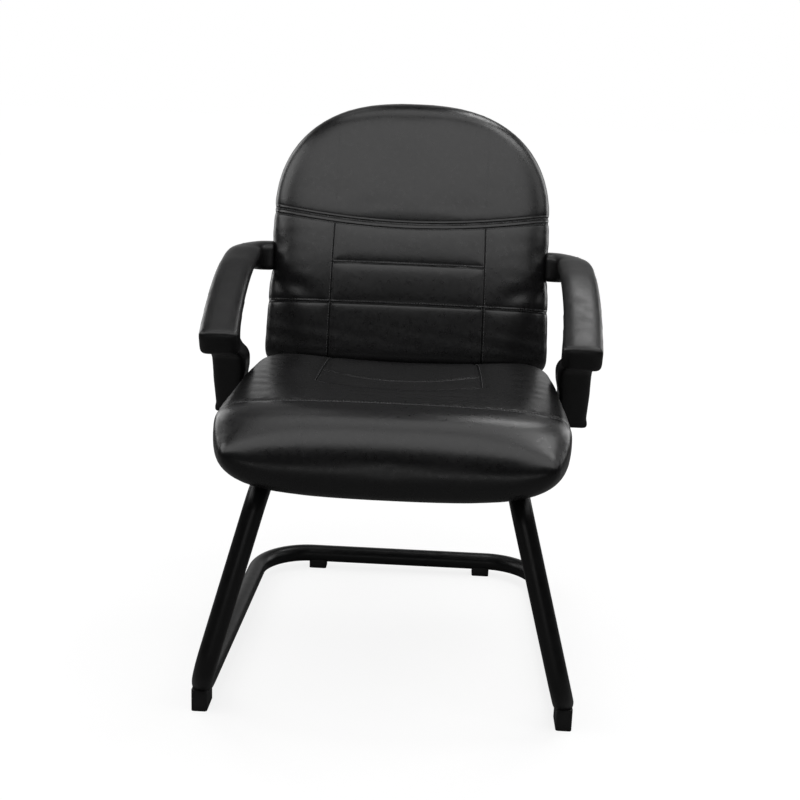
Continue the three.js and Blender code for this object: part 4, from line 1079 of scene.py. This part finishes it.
def back_lines(points):
    """Signed distance in millimetres to each sewn line of the back, square on, and where it runs."""
    x, _, z = unleaned(points).T
    line_half = back_half_width(np.clip(z, BACK_CORNER, BACK_SEAM)) * BACK_PANEL_HALF / BACK_HIGH_HALF
    seam = BACK_SEAM - BACK_SAG * (1 - np.minimum(1, abs(x) / BACK_HIGH_HALF) ** 2)
    inside = 1 - smooth(line_half + 1, line_half + 5, abs(x))
    below = 1 - smooth(-2, 2, z - seam + BACK_BAND)
    everywhere = np.ones_like(x)
    return (
        (z - seam, everywhere),
        (z - seam + BACK_BAND, everywhere),
        (z - BACK_LINE_LOW, everywhere),
        (z - BACK_LINE_HIGH, inside),
        (abs(x) - line_half, below),
    )


BACK_CAP, BACK_SEWN_WIDTH = 0.0082, 8.0
back = back_form("leather_back", DRAWN_IN, BACK_THICK + 1.4)
even_cells(back)
relaxed(back.data, 3)
back_points = points_of(back.data)
own = unleaned(back_points)
back_sewn = pulled(back_lines(back_points), BACK_SEWN_WIDTH) * (1 - smooth(44, 58, own[:, 1]))
on_panel = smooth(BACK_THICK - 6, BACK_THICK - 1, own[:, 1])
low_behind = (1 - smooth(8, 30, own[:, 2])) * smooth(0, 30, own[:, 1])
back_fixed = np.maximum(on_panel, 0.7 * low_behind)
blown_up(back, back_sewn, back_fixed, DRAWN_IN * MM, BACK_CAP)
print("back cells:", len(back.data.vertices))

# %% [markdown]
# The links of the arms press into the sides of the back. The leather dents round each link,
# small folds run off it and a longer one slants down from it, as the photograph shows. The
# lower part swells a little to the front, where it supports the sitter.

# %% Back seams, dents and folds
LINK_DEPTH, LINK_HEIGHT = 527.87, 624.0
LINK_HALF_DEPTH, LINK_HALF_HEIGHT = 22.0, 23.0
LUMBAR, LUMBAR_HEIGHT, LUMBAR_WIDTH, LUMBAR_REACH = 6.0, 185, 105, 252


def back_sink(points):
    return 1 - smooth(50, 66, unleaned(points)[:, 1])


subdivided(back)
relaxed(back.data, 2)
seamed(back, back_lines, back_sink, 1.1, 3.2)
back_points, back_normals = points_of(back.data), normals_of(back.data)
own_x, own_y, own_z = unleaned(back_points).T
beside_middle = abs(back_points[:, 0]) / MM
from_link_y = depth_of(back_points) - LINK_DEPTH
from_link_z = back_points[:, 2] / MM - LINK_HEIGHT
away = np.hypot(from_link_y, from_link_z)
angle = np.arctan2(from_link_z, from_link_y)
aside = smooth(205, 235, beside_middle)
square = np.maximum(abs(from_link_y) / (LINK_HALF_DEPTH + 3), abs(from_link_z) / (LINK_HALF_HEIGHT + 3))
dent = (1 - smooth(0.85, 1.5, square)) * aside * (0.35 + 0.65 * smooth(-10, 14, -from_link_z))
rays = np.sin(angle * 9 + 0.03 * away) * bump_of(away - 42, 20) * aside
soft_rays = (np.sin(from_link_z * 0.19 + from_link_y * 0.11) * bump_of(away - 58, 26)
             * smooth(150, 215, beside_middle))
creases = (np.sin(own_z * 0.21 + own_x * 0.035) * bump_of(own_z - 62, 26)
           * smooth(-20, 20, 60 - own_y) * (0.4 + 0.6 * smooth(60, 200, abs(own_x))))
fold_line = blend(126, 172, (abs(own_x) - 140) / 108)
fold = bump_of(own_z - fold_line, 17) * smooth(130, 205, abs(own_x)) * (1 - smooth(40, 60, own_y))
lumbar = (LUMBAR * bump_of(own_z - LUMBAR_HEIGHT, LUMBAR_WIDTH)
          * (1 - np.minimum(1, abs(own_x) / LUMBAR_REACH) ** 4) * (1 - smooth(20, 50, own_y)))
move = (lumbar - 3.0 * dent - 2.2 * fold + 0.12 * rays + 0.15 * soft_rays + 0.22 * creases) * MM
move_points(back.data, back_points + back_normals * move[:, None])
handed_over(back, sewn_leather, ["back_cover", "back_foam"])

# %% [markdown]
# ### The rear of the back
# Behind, an upholstered panel hides the board. It follows the back's outline a little inside
# its edge, rises in a rounded border and swells gently to its middle. A piping cord runs round
# it where it meets the cushion.

# %% Rear panel and piping


def outline_ring(inset, depth, count=96):
    """Points round the back's outline, drawn in, evenly spaced, at a depth in the back's frame."""
    heights = back_stations(inset, rounded_ends(0, 60), 40)
    right = columns(np.maximum(back_half_width(heights, inset), 0), heights)
    whole = np.concatenate([right, right[::-1] * (-1, 1), right[:1]])
    length = np.concatenate([[0], np.cumsum(np.linalg.norm(np.diff(whole, axis=0), axis=1))])
    even = np.linspace(0, length[-1], count, endpoint=False)
    x, z = (np.interp(even, length, side) for side in whole.T)
    return leaned(columns(x, float(depth), z))


PANEL_FRONT = BACK_THICK + 1.7
PANEL_INSET, PANEL_EDGE, PANEL_CROWN, PANEL_REACH = 9.0, 7.0, 6.0, 123.0
PIPING_RADIUS = 2.2
panel_rings = [outline_ring(PANEL_INSET + 2, PANEL_FRONT)]
for turn in np.linspace(0, math.pi / 2, 7):
    panel_rings.append(outline_ring(
        PANEL_INSET + PANEL_EDGE * (1 - math.cos(turn)), PANEL_FRONT + PANEL_EDGE * math.sin(turn)))
for share in np.linspace(0.06, 1, 14):
    panel_rings.append(outline_ring(
        PANEL_INSET + PANEL_EDGE + (PANEL_REACH - PANEL_EDGE) * share,
        PANEL_FRONT + PANEL_EDGE + PANEL_CROWN * math.sin(share * math.pi / 2)))
rear_panel = outward(subdivided(lofted("leather_rear_panel", panel_rings)))
handed_over(rear_panel, black_leather, ["back_panel"], 60)

piping_ring = outline_ring(PANEL_INSET - 0.5, PANEL_FRONT + 0.4, 240)
piping = outward(grown(
    path_object("rear_panel_piping", [np.concatenate([piping_ring, piping_ring[:1]])]),
    swept_bar, Radius=PIPING_RADIUS * MM, Sides=12, Finish=black_leather))
handed_over(piping, black_leather)

# %% [markdown]
# ### Stitches
# Thread holds every seam. It is black, but its colour is painted dark grey: a painted sheen for
# the light that catches the stitches. On this chair the stitches sit in a row close beside each
# groove, about four and a half millimetres apart, and the curved seam of the back has a second
# row along its band. The rows are drawn as lines, dropped onto the leather, and given their
# stitches by the tree made earlier.

# %% Stitch rows
THREAD_PROUD = 0.0002
BESIDE = 2.5
ABOVE_SEAT = 470


def dropped(tree, points, direction):
    """Points laid on a surface along a direction, a hair proud of it. Misses are left out."""
    run = []
    for point in points:
        hit, normal, _, _ = tree.ray_cast(Vector(point) - direction * 0.2, direction)
        if hit:
            run.append(hit + normal * THREAD_PROUD)
    return run


def surface_of(piece):
    mesh = piece.data
    return BVHTree.FromPolygons([v.co for v in mesh.vertices], [p.vertices for p in mesh.polygons])


def stitched(name, piece, rows, direction):
    tree = surface_of(piece)
    runs = [run for run in (dropped(tree, row, direction) for row in rows) if len(run) > 2]
    made = grown(path_object(name, runs), grain_row, Pitch=0.0046, Length=0.0036, Width=0.0009,
                 Height=0.0008, Seed=7, Finish=thread_painted_sheen)
    print(name, len(runs), "rows")
    handed_over(made, thread_painted_sheen)


def seat_panel_half(y):
    return seat_half_width(y) * PANEL_HALF / SEAT_HALF


def back_panel_half(z):
    return back_half_width(z) * BACK_PANEL_HALF / BACK_HIGH_HALF


seam_x = np.linspace(-236, 236, 160)
seat_rows = [(seam_x, SEAT_SEAM + offset) for offset in (-BESIDE, BESIDE)]
for line, offset in ((SEAT_LINE_A, -BESIDE), (SEAT_LINE_B, BESIDE)):
    half = float(seat_panel_half(line)) - 2
    x = np.linspace(-half, half, 110)
    seat_rows.append((x, line + SEAT_SWEEP * (x / half) ** 2 + offset))
y = np.linspace(SEAT_LINE_A + SEAT_SWEEP, 418, 60)
seat_rows += [(sign * (seat_panel_half(y) + BESIDE), y) for _, sign in SIDES]
seat_rows = [placed(columns(x, y, ABOVE_SEAT)) for x, y in seat_rows]
stitched("seat_stitches", seat, seat_rows, Vector((0, 0, -1)))

seam_height = BACK_SEAM - BACK_SAG * (1 - (seam_x / BACK_HIGH_HALF) ** 2)
panel_half = float(back_panel_half(BACK_LINE_HIGH))
panel_x = np.linspace(-panel_half + 2, panel_half - 2, 110)
z = np.linspace(30, BACK_SEAM - BACK_SAG * 0.72 - BACK_BAND - 4, 90)
back_rows = [
    (seam_x, seam_height - BESIDE),
    (seam_x, seam_height + (-BACK_BAND - BESIDE)),
    (seam_x, BACK_LINE_LOW + BESIDE),
    (panel_x, BACK_LINE_HIGH + BESIDE),
    *((sign * (back_panel_half(z) + BESIDE), z) for _, sign in SIDES),
]
back_rows = [leaned(columns(x, 0.0, z)) for x, z in back_rows]
into_back = Vector((0, math.cos(RECLINE), -math.sin(RECLINE)))
stitched("back_stitches", back, back_rows, into_back)

# %% [markdown]
# ## The arms
# Each arm is one moulding: a pad that rises from a square nose, turns inward over the shoulder
# and ends in a link pressed into the back; a post that leans back to the seat; and a foot that
# is bolted under the board. Pad and post are lofted closely, the foot and its lip are plain
# blocks. All are joined into one skin by small voxels, and relaxed, which leaves the soft
# fillets that a mould needs.

# %% Arm forms
ARM_HALF, ARM_REAR_HALF, ARM_PAD_WIDTH, ARM_CORNER, ARM_BOW = 287.0, 291.0, 65.0, 9.0, 5.0
NOSE_DEPTH, NOSE_HEIGHT, NOSE_THICK, PAD_THICK, PAD_CROWN = 224.0, 515.0, 46.0, 28.0, 2.0
SHOULDER_HEIGHT, TURN_RADIUS = 621.0, 42.0
LINK_DROP, UNDERCUT, LINK_END = 3.0, 10.0, 242.3
PAD_CURVE = ((0, 0), (0.14, 0.18), (0.37, 0.49), (0.6, 0.75), (0.82, 0.93), (1, 1))
POST_HALF, POST_WIDTH = 290.5, 50.0
FOOT_FRONT, FOOT_REAR, FOOT_BOTTOM, FOOT_TOP, FOOT_INNER = 345.0, 407.0, 374.6, 386.6, 209.0
LIP_OUT, LIP_TOP = 2.5, 388
QUARTERS = ((1, 1), (-1, 1), (-1, -1), (1, -1))
CORNER_STEPS = 6


def through(points, count):
    """Evenly spaced points on a centripetal curve through the given ones."""
    p = [np.asarray(q, float) for q in points]
    p = [2 * p[0] - p[1], *p, 2 * p[-1] - p[-2]]
    dense = []
    for i in range(1, len(p) - 2):
        gaps = [max(np.linalg.norm(p[i + k] - p[i + k - 1]) ** 0.5, 1e-6) for k in range(3)]
        a, b, c = gaps
        start = ((p[i] - p[i - 1]) / a - (p[i + 1] - p[i - 1]) / (a + b) + (p[i + 1] - p[i]) / b) * b
        end = ((p[i + 1] - p[i]) / b - (p[i + 2] - p[i]) / (b + c) + (p[i + 2] - p[i + 1]) / c) * b
        t = np.linspace(0, 1, 24, endpoint=False)[:, None]
        dense.append(p[i] + start * t + (-3 * p[i] + 3 * p[i + 1] - 2 * start - end) * t ** 2
                     + (2 * p[i] - 2 * p[i + 1] + start + end) * t ** 3)
    dense = np.concatenate([*dense, [p[-2]]])
    length = np.concatenate([[0], np.cumsum(np.linalg.norm(np.diff(dense, axis=0), axis=1))])
    even = np.linspace(0, length[-1], count)
    return np.stack([np.interp(even, length, dense[:, k]) for k in range(3)], 1), length[-1]


def corner_turns(quarter):
    return [(quarter + step / CORNER_STEPS) * math.pi / 2 for step in range(CORNER_STEPS + 1)]


def pad_line():
    """The middle of the pad, from its nose over the shoulder to the link's end."""
    shoulder_depth = LINK_DEPTH - TURN_RADIUS
    line = [(blend(ARM_HALF, ARM_REAR_HALF, along) + ARM_BOW * math.sin(math.pi * along),
             blend(NOSE_DEPTH, shoulder_depth, along), blend(NOSE_HEIGHT, SHOULDER_HEIGHT, up))
            for along, up in PAD_CURVE]
    for step in range(1, 6):
        angle = math.pi / 2 * step / 5
        line.append((ARM_REAR_HALF - TURN_RADIUS * (1 - math.cos(angle)),
                     shoulder_depth + TURN_RADIUS * math.sin(angle),
                     blend(SHOULDER_HEIGHT, LINK_HEIGHT - LINK_DROP, step / 5)))
    line.append((LINK_END, LINK_DEPTH, LINK_HEIGHT - LINK_DROP))
    return line


def pad_section(half_w, half_t, undercut):
    """Across the pad: crowned on top, narrower below by the undercut, with round corners."""
    ring = []
    for quarter, (a, b) in enumerate(QUARTERS):
        radius = min(ARM_CORNER if b > 0 else ARM_CORNER + undercut / 2, half_w, half_t)
        centre_w = half_w - radius - (undercut if b < 0 else 0)
        for turn in corner_turns(quarter):
            ring.append((a * centre_w + radius * math.cos(turn),
                         b * (half_t - radius) + radius * math.sin(turn)))
        if quarter in (0, 2):
            for step in np.linspace(0.15, 0.85, 7):
                w = (1 - 2 * step) * (1 if quarter == 0 else -1) * centre_w
                crown = PAD_CROWN * (1 - (w / half_w) ** 2) if quarter == 0 else 0
                ring.append((w, b * half_t + crown))
    return ring


def arm_pad(name, sign):
    centres, length = through(pad_line(), 120)
    tangents = np.gradient(centres, axis=0)
    rings = []
    for i, (centre, tangent) in enumerate(zip(centres, tangents)):
        share = i / (len(centres) - 1)
        along = tangent / np.linalg.norm(tangent)
        wide = np.array([along[1], -along[0], 0.0])
        wide /= np.linalg.norm(wide)
        up = np.cross(wide, along)
        pad = blend(NOSE_THICK, PAD_THICK, float(smooth(0, 0.42, share)))
        thick = blend(pad, 2 * LINK_HALF_HEIGHT + LINK_DROP, float(smooth(0.66, 0.96, share)))
        width = blend(ARM_PAD_WIDTH, 2 * LINK_HALF_DEPTH, float(smooth(0.72, 0.98, share)))
        reach = share * length
        drawn = ARM_CORNER * (1 - math.sqrt(max(0, 1 - max(0, 1 - reach / ARM_CORNER) ** 2)))
        undercut = UNDERCUT * float(smooth(0.04, 0.2, share) * (1 - smooth(0.7, 0.85, share)))
        section = pad_section(width / 2 - drawn, thick / 2 - drawn, undercut)
        rings.append([centre + wide * w + up * t for w, t in section])
    rings = np.asarray(rings)
    rings[..., 0] *= sign
    return lofted(name, [placed(ring) for ring in rings])


def drawn_in(outline, distance):
    """A closed outline, anticlockwise, with every edge drawn in."""
    before = outline - np.roll(outline, 1, axis=0)
    after = np.roll(outline, -1, axis=0) - outline
    before /= np.linalg.norm(before, axis=1)[:, None]
    after /= np.linalg.norm(after, axis=1)[:, None]
    inward = columns(-before[:, 1] - after[:, 1], before[:, 0] + after[:, 0])
    return outline + inward * (distance / (1 + (before * after).sum(1)))[:, None]


def block(name, front, rear, bottom, top, inner, outer, corner, sign):
    """A side-view rectangle given a width, with rounded long edges. It is closed by flat ends."""
    outline = np.array([(front, bottom), (rear, bottom), (rear, top), (front, top)], float)
    arc = np.linspace(0, math.pi / 2, 6)
    sides = [(inner + corner * (1 - math.cos(a)), corner * (1 - math.sin(a))) for a in arc]
    sides += [(outer - corner * (1 - math.cos(a)), corner * (1 - math.sin(a))) for a in arc[::-1]]
    rings = []
    for x_here, drawn in sides:
        rings.append(placed(columns(sign * x_here, *drawn_in(outline, drawn).T)))
    count = len(outline)
    faces = skin_faces(len(rings), count, capped=False)
    faces += [tuple(range(count))[::-1], tuple(range((len(rings) - 1) * count, len(rings) * count))]
    return outward(mesh_object(name, np.concatenate(rings), faces))


POST_SECTIONS = np.array((
    # height, front, rear, inner side, outer side
    (FOOT_BOTTOM, FOOT_FRONT, FOOT_REAR, 265.5, 315.5),
    (398.6, 333.5, FOOT_REAR, 265.5, 315.5),
    (436.0, 315.7, 383.0, 265.0, 315.5),
    (460.0, 304.0, 368.0, 259.0, 314.5),
    (480.0, 293.0, 355.0, 257.0, 313.5),
    (490.0, 281.0, 349.0, 260.0, 314.5),
    (500.0, 262.0, 342.0, 268.0, 316.0),
    (518.0, 258.0, 330.0, 273.0, 315.5),
    (540.0, 266.0, 342.0, 273.0, 315.5),
    (566.0, 332.0, 355.0, 275.0, 312.0),
))


def arm_post(name, sign):
    """The post, lofted upwards through its level sections, each a rectangle with round corners."""
    heights = POST_SECTIONS[:, 0]
    rings = []
    for z in np.linspace(heights[0], heights[-1], 90):
        front, rear, inner, outer = (np.interp(z, heights, POST_SECTIONS[:, k]) for k in range(1, 5))
        half_x, half_y = (outer - inner) / 2, (rear - front) / 2
        radius = min(ARM_CORNER, half_x, half_y)
        rings.append(placed([
            (sign * ((inner + outer) / 2 + a * (half_x - radius) + radius * math.cos(turn)),
             (front + rear) / 2 + b * (half_y - radius) + radius * math.sin(turn), z)
            for quarter, (a, b) in enumerate(QUARTERS) for turn in corner_turns(quarter)
        ]))
    return lofted(name, rings)

# %% [markdown]
# The post meets the nose with a bulge on its inner side, so that the arm is strong where it is
# leaned on, and its foot ends in a small lip that hugs the edge of the seat.

# %% Join each arm
VOXEL = 0.0021
FOOT_EDGE, LIP_EDGE = 3.0, 4.0
arms = {}
for side, sign in SIDES:
    parts = [
        arm_pad("pad_form", sign),
        arm_post("post_form", sign),
        block("foot_form", FOOT_FRONT, FOOT_REAR, FOOT_BOTTOM, FOOT_TOP,
              FOOT_INNER, ARM_HALF + 4, FOOT_EDGE, sign),
        block("lip_form", FOOT_FRONT - LIP_OUT, FOOT_REAR + LIP_OUT, FOOT_BOTTOM, LIP_TOP,
              POST_HALF - POST_WIDTH / 2, POST_HALF + POST_WIDTH / 2 + LIP_OUT, LIP_EDGE, sign),
    ]
    arm = joined(f"moulded_arm_{side}", [part.data for part in parts])
    for part in parts:
        bpy.data.objects.remove(part)
    even_cells(arm, VOXEL)
    relaxed(arm.data, 14)
    arms[side] = handed_over(outward(arm), arm_plastic, [f"arm_{side}"])

# %% [markdown]
# Two bolts run from each arm into the bracket inside the back. Their heads are sunk in the
# moulding and closed by small round caps, which stand a little proud of it.

# %% Caps over the bolts
CAP_PROFILE = ((6.2, -2.0), (6.4, 0.2), (6.2, 0.8), (5.2, 1.25), (3.0, 1.5), (0.5, 1.55))
CAP_ROWS = (-12.0, 12.0)
OUTSIDE = 360
cap_shape = lofted("cap_shape", np.asarray([circle(r, h, 28) for r, h in CAP_PROFILE]) * MM)
for side, sign in SIDES:
    arm_surface = surface_of(arms[side])
    caps = []
    for row in CAP_ROWS:
        start = Vector(placed([(sign * OUTSIDE, LINK_DEPTH, LINK_HEIGHT + row)])[0])
        hit, normal, _, _ = arm_surface.ray_cast(start, Vector((-sign, 0, 0)))
        shape = cap_shape.data.copy()
        shape.transform(Matrix.Translation(hit) @ normal.to_track_quat("Z", "Y").to_matrix().to_4x4())
        caps.append(shape)
    handed_over(outward(joined(f"arm_bolt_caps_{side}", caps)), arm_plastic,
                [f"arm_back_plug_lower_{side}", f"arm_back_plug_upper_{side}"], 50)
bpy.data.objects.remove(cap_shape)

# %% [markdown]
# ## Under the seat
# A thin black cloth is stapled under the board and hides the foam and the raw edges of the
# leather. It is a sheet, held at its edge, that hangs a hair between its staples.

# %% Dust cloth
CLOTH_HEIGHT, CLOTH_CORNER, SCALLOP = 387.75, 18, 0.12
CLOTH_FRONT, CLOTH_REAR = 48.4, 401.6
CLOTH_FRONT_HALF, CLOTH_REAR_HALF = 217.6, 215.6
ACROSS, ALONG = 70, 56
grid = []
for j in range(ALONG + 1):
    depth = blend(CLOTH_FRONT, CLOTH_REAR, j / ALONG)
    half = blend(CLOTH_FRONT_HALF, CLOTH_REAR_HALF, j / ALONG)
    end = min(j / ALONG, 1 - j / ALONG) * (CLOTH_REAR - CLOTH_FRONT)
    half -= CLOTH_CORNER * (1 - math.sqrt(max(0, 1 - max(0, 1 - end / CLOTH_CORNER) ** 2)))
    for i in range(ACROSS + 1):
        aside = (2 * i / ACROSS - 1) * half
        scallop = SCALLOP * math.sin(depth * 0.16) * math.sin(aside * 0.15)
        grid.append((aside, depth, CLOTH_HEIGHT + scallop))
row = ACROSS + 1
faces = [(j * row + i, j * row + i + 1, (j + 1) * row + i + 1, (j + 1) * row + i)
         for j in range(ALONG) for i in range(ACROSS)]
cloth_piece = mesh_object("dust_cloth_sheet", placed(grid), faces)
with_modifier(cloth_piece, "SOLIDIFY", thickness=0.0005, offset=0.0)
handed_over(outward(cloth_piece), dust_black, ["dust_cloth"], 40)

# %% [markdown]
# ## Pieces that stay as packed
# The boards, nuts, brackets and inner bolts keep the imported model's own shape. They only need
# their finishes, chosen by what each one is made of.

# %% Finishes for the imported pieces
kept_finishes = (
    (("seat_board", "back_board"), plywood),
    (("_nut_", "back_bracket", "bracket_screw", "arm_back_bolt"), zinc_steel),
)
for node, piece in nodes.items():
    for words, finish in kept_finishes:
        if any(word in node for word in words):
            piece.data.materials.clear()
            piece.data.materials.append(finish)
left_over = [n for n, o in nodes.items() if not o.hide_render and not any(
    w in n for words, _ in kept_finishes for w in words)]
print("packed pieces without a finish of their own:", left_over)

# %% [markdown]
# ## Studio
# A pale floor and a white surround, as in the photograph. To the camera the floor is mostly a
# white glow, a little weaker near the chair, so that a faint shadow stays; to everything else
# it is a dim matt floor. In reflections the surround is white behind the chair, which gives
# dark edges their light rim, and dim in front of it.

# %% Floor and surround
def floor_finish():
    made = Finish("studio_floor")
    wiring = Wiring(
        made.tree, shader=made.shader, place="ShaderNodeTexCoord", seen="ShaderNodeLightPath",
        speck=("ShaderNodeTexNoise", {"Scale": 3.0}), tone="ShaderNodeValToRGB",
        own=("ShaderNodeMix", {"data_type": "RGBA", "_7": (0.95, 0.95, 0.95, 1)}),
        away=("ShaderNodeVectorMath", {"operation": "LENGTH"}),
        fade=("ShaderNodeMapRange", {"From_Min": 0.5, "From_Max": 2.8, "To_Min": 1.055, "To_Max": 1.23}),
        glow="ShaderNodeEmission", share=("ShaderNodeMath", {"operation": "MULTIPLY", "_1": 0.78}),
        mixed="ShaderNodeMixShader", out=made.tree.nodes["Material Output"])
    for element, grey in zip(wiring.parts["tone"].color_ramp.elements, (0.15, 0.17)):
        element.color = (grey, grey, grey, 1)
    made.shader.inputs["Roughness"].default_value = 0.9
    made.shader.inputs["Specular IOR Level"].default_value = 0.1
    wiring.link("""
        place.Object > speck.Vector, speck.Fac > tone.Fac, tone.Color > own.6,
        seen.Is Camera Ray > own.0, own.2 > shader.Base Color, seen.Is Camera Ray > share.0,
        place.Object > away.0, away.Value > fade.Value, fade.Result > glow.Strength,
        share.Value > mixed.Fac, shader.BSDF > mixed.1, glow.Emission > mixed.2,
        mixed.Shader > out.Surface""")
    return made.material


FLOOR_HALF = 40.0
floor = mesh_object(
    "studio_floor", [(a * FLOOR_HALF, b * FLOOR_HALF, 0) for a, b in ((-1, -1), (1, -1), (1, 1), (-1, 1))],
    [(0, 1, 2, 3)])
floor.data.materials.append(floor_finish())


def surround(level, in_front, behind):
    """White to the camera, and in reflections white low behind the chair and dim in front of it."""
    world = bpy.data.worlds.new("studio_surround")
    bpy.context.scene.world = world
    world.use_nodes = True
    world.node_tree.nodes.clear()
    Wiring(
        world.node_tree, place="ShaderNodeTexCoord", seen="ShaderNodeLightPath",
        split="ShaderNodeSeparateXYZ",
        behind=("ShaderNodeMapRange", {"From_Min": 0.3, "From_Max": 1.0, "To_Min": in_front, "To_Max": behind}),
        low=("ShaderNodeMapRange", {"From_Min": 0.35, "From_Max": 0.75, "To_Min": 1.0, "To_Max": 0.1}),
        both=("ShaderNodeMath", {"operation": "MULTIPLY"}),
        mirror=("ShaderNodeMath", {"operation": "MAXIMUM"}),
        lit=("ShaderNodeMix", {"A": level}), shown=("ShaderNodeMix", {"B": 1.0}),
        light=("ShaderNodeBackground", {"Color": (1, 1, 1, 1)}), out="ShaderNodeOutputWorld",
    ).link("""
        place.Generated > split.Vector, split.Y > behind.Value, split.Z > low.Value,
        seen.Is Glossy Ray > mirror.0, seen.Is Transmission Ray > mirror.1,
        behind.Result > both.0, low.Result > both.1, both.Value > lit.B,
        mirror.Value > lit.Factor, lit.Result > shown.A, seen.Is Camera Ray > shown.Factor,
        shown.Result > light.Strength, light.Background > out.Surface""")


surround(0.22, 0.02, 0.6)

# %% [markdown]
# Wide soft lamps light the chair. The one above and in front is the sheen on the head part of
# the back and on the seat's roll, and a low one fills the roll from below. The rear and crown
# lamps draw the edges of the back, and a small one over each arm draws the light along its pad,
# stronger on the right, as in the photograph.

# %% Lamps
LAMPS = (
    # name, place, aim, width and height in metres, and brightness as the chair sees it
    ("front_overhead_lamp", (0.0, -0.725, 1.65), (0, 0.08, 1.25), 2.8, 1.23, 1.75),
    ("top_lamp", (0.0, 0.15, 2.45), (0, 0, 0.5), 2.0, 0.9, 1.5),
    ("left_rear_lamp", (-1.6, 1.3, 1.15), (0, 0.1, 0.75), 0.8, 1.4, 2.4),
    ("right_rear_lamp", (1.6, 1.3, 1.15), (0, 0.1, 0.75), 0.8, 1.4, 2.4),
    ("right_crown_lamp", (1.05, 0.1, 2.1), (0.1, 0.2, 0.88), 0.6, 0.6, 5.0),
    ("right_arm_lamp", (0.5, 0.85, 1.92), (0.29, 0, 0.57), 0.45, 0.45, 6.0),
    ("left_arm_lamp", (-0.5, 0.85, 1.92), (-0.29, 0, 0.57), 0.45, 0.45, 0.75),
    ("front_low_lamp", (0.0, -1.9, 0.26), (0, -0.34, 0.42), 0.9, 0.34, 0.9),
    ("left_side_lamp", (-2.1, -0.2, 1.75), (0, 0, 0.7), 1.1, 1.2, 3.0),
    ("right_side_lamp", (2.1, -0.2, 1.75), (0, 0, 0.7), 1.1, 1.2, 1.3),
)
for name, place, aim, width, height, radiance in LAMPS:
    light = shown(name, bpy.data.lights.new(name, "AREA"))
    set_all(light.data, shape="RECTANGLE", size=width, size_y=height,
            energy=radiance * math.pi * width * height)
    light.rotation_mode = "QUATERNION"
    light.rotation_quaternion = (Vector(aim) - Vector(place)).to_track_quat("-Z", "Y")
    set_all(light, location=place, visible_camera=False)
    print(name, "energy", round(light.data.energy, 1))
bpy.context.scene.view_settings.view_transform = "Standard"
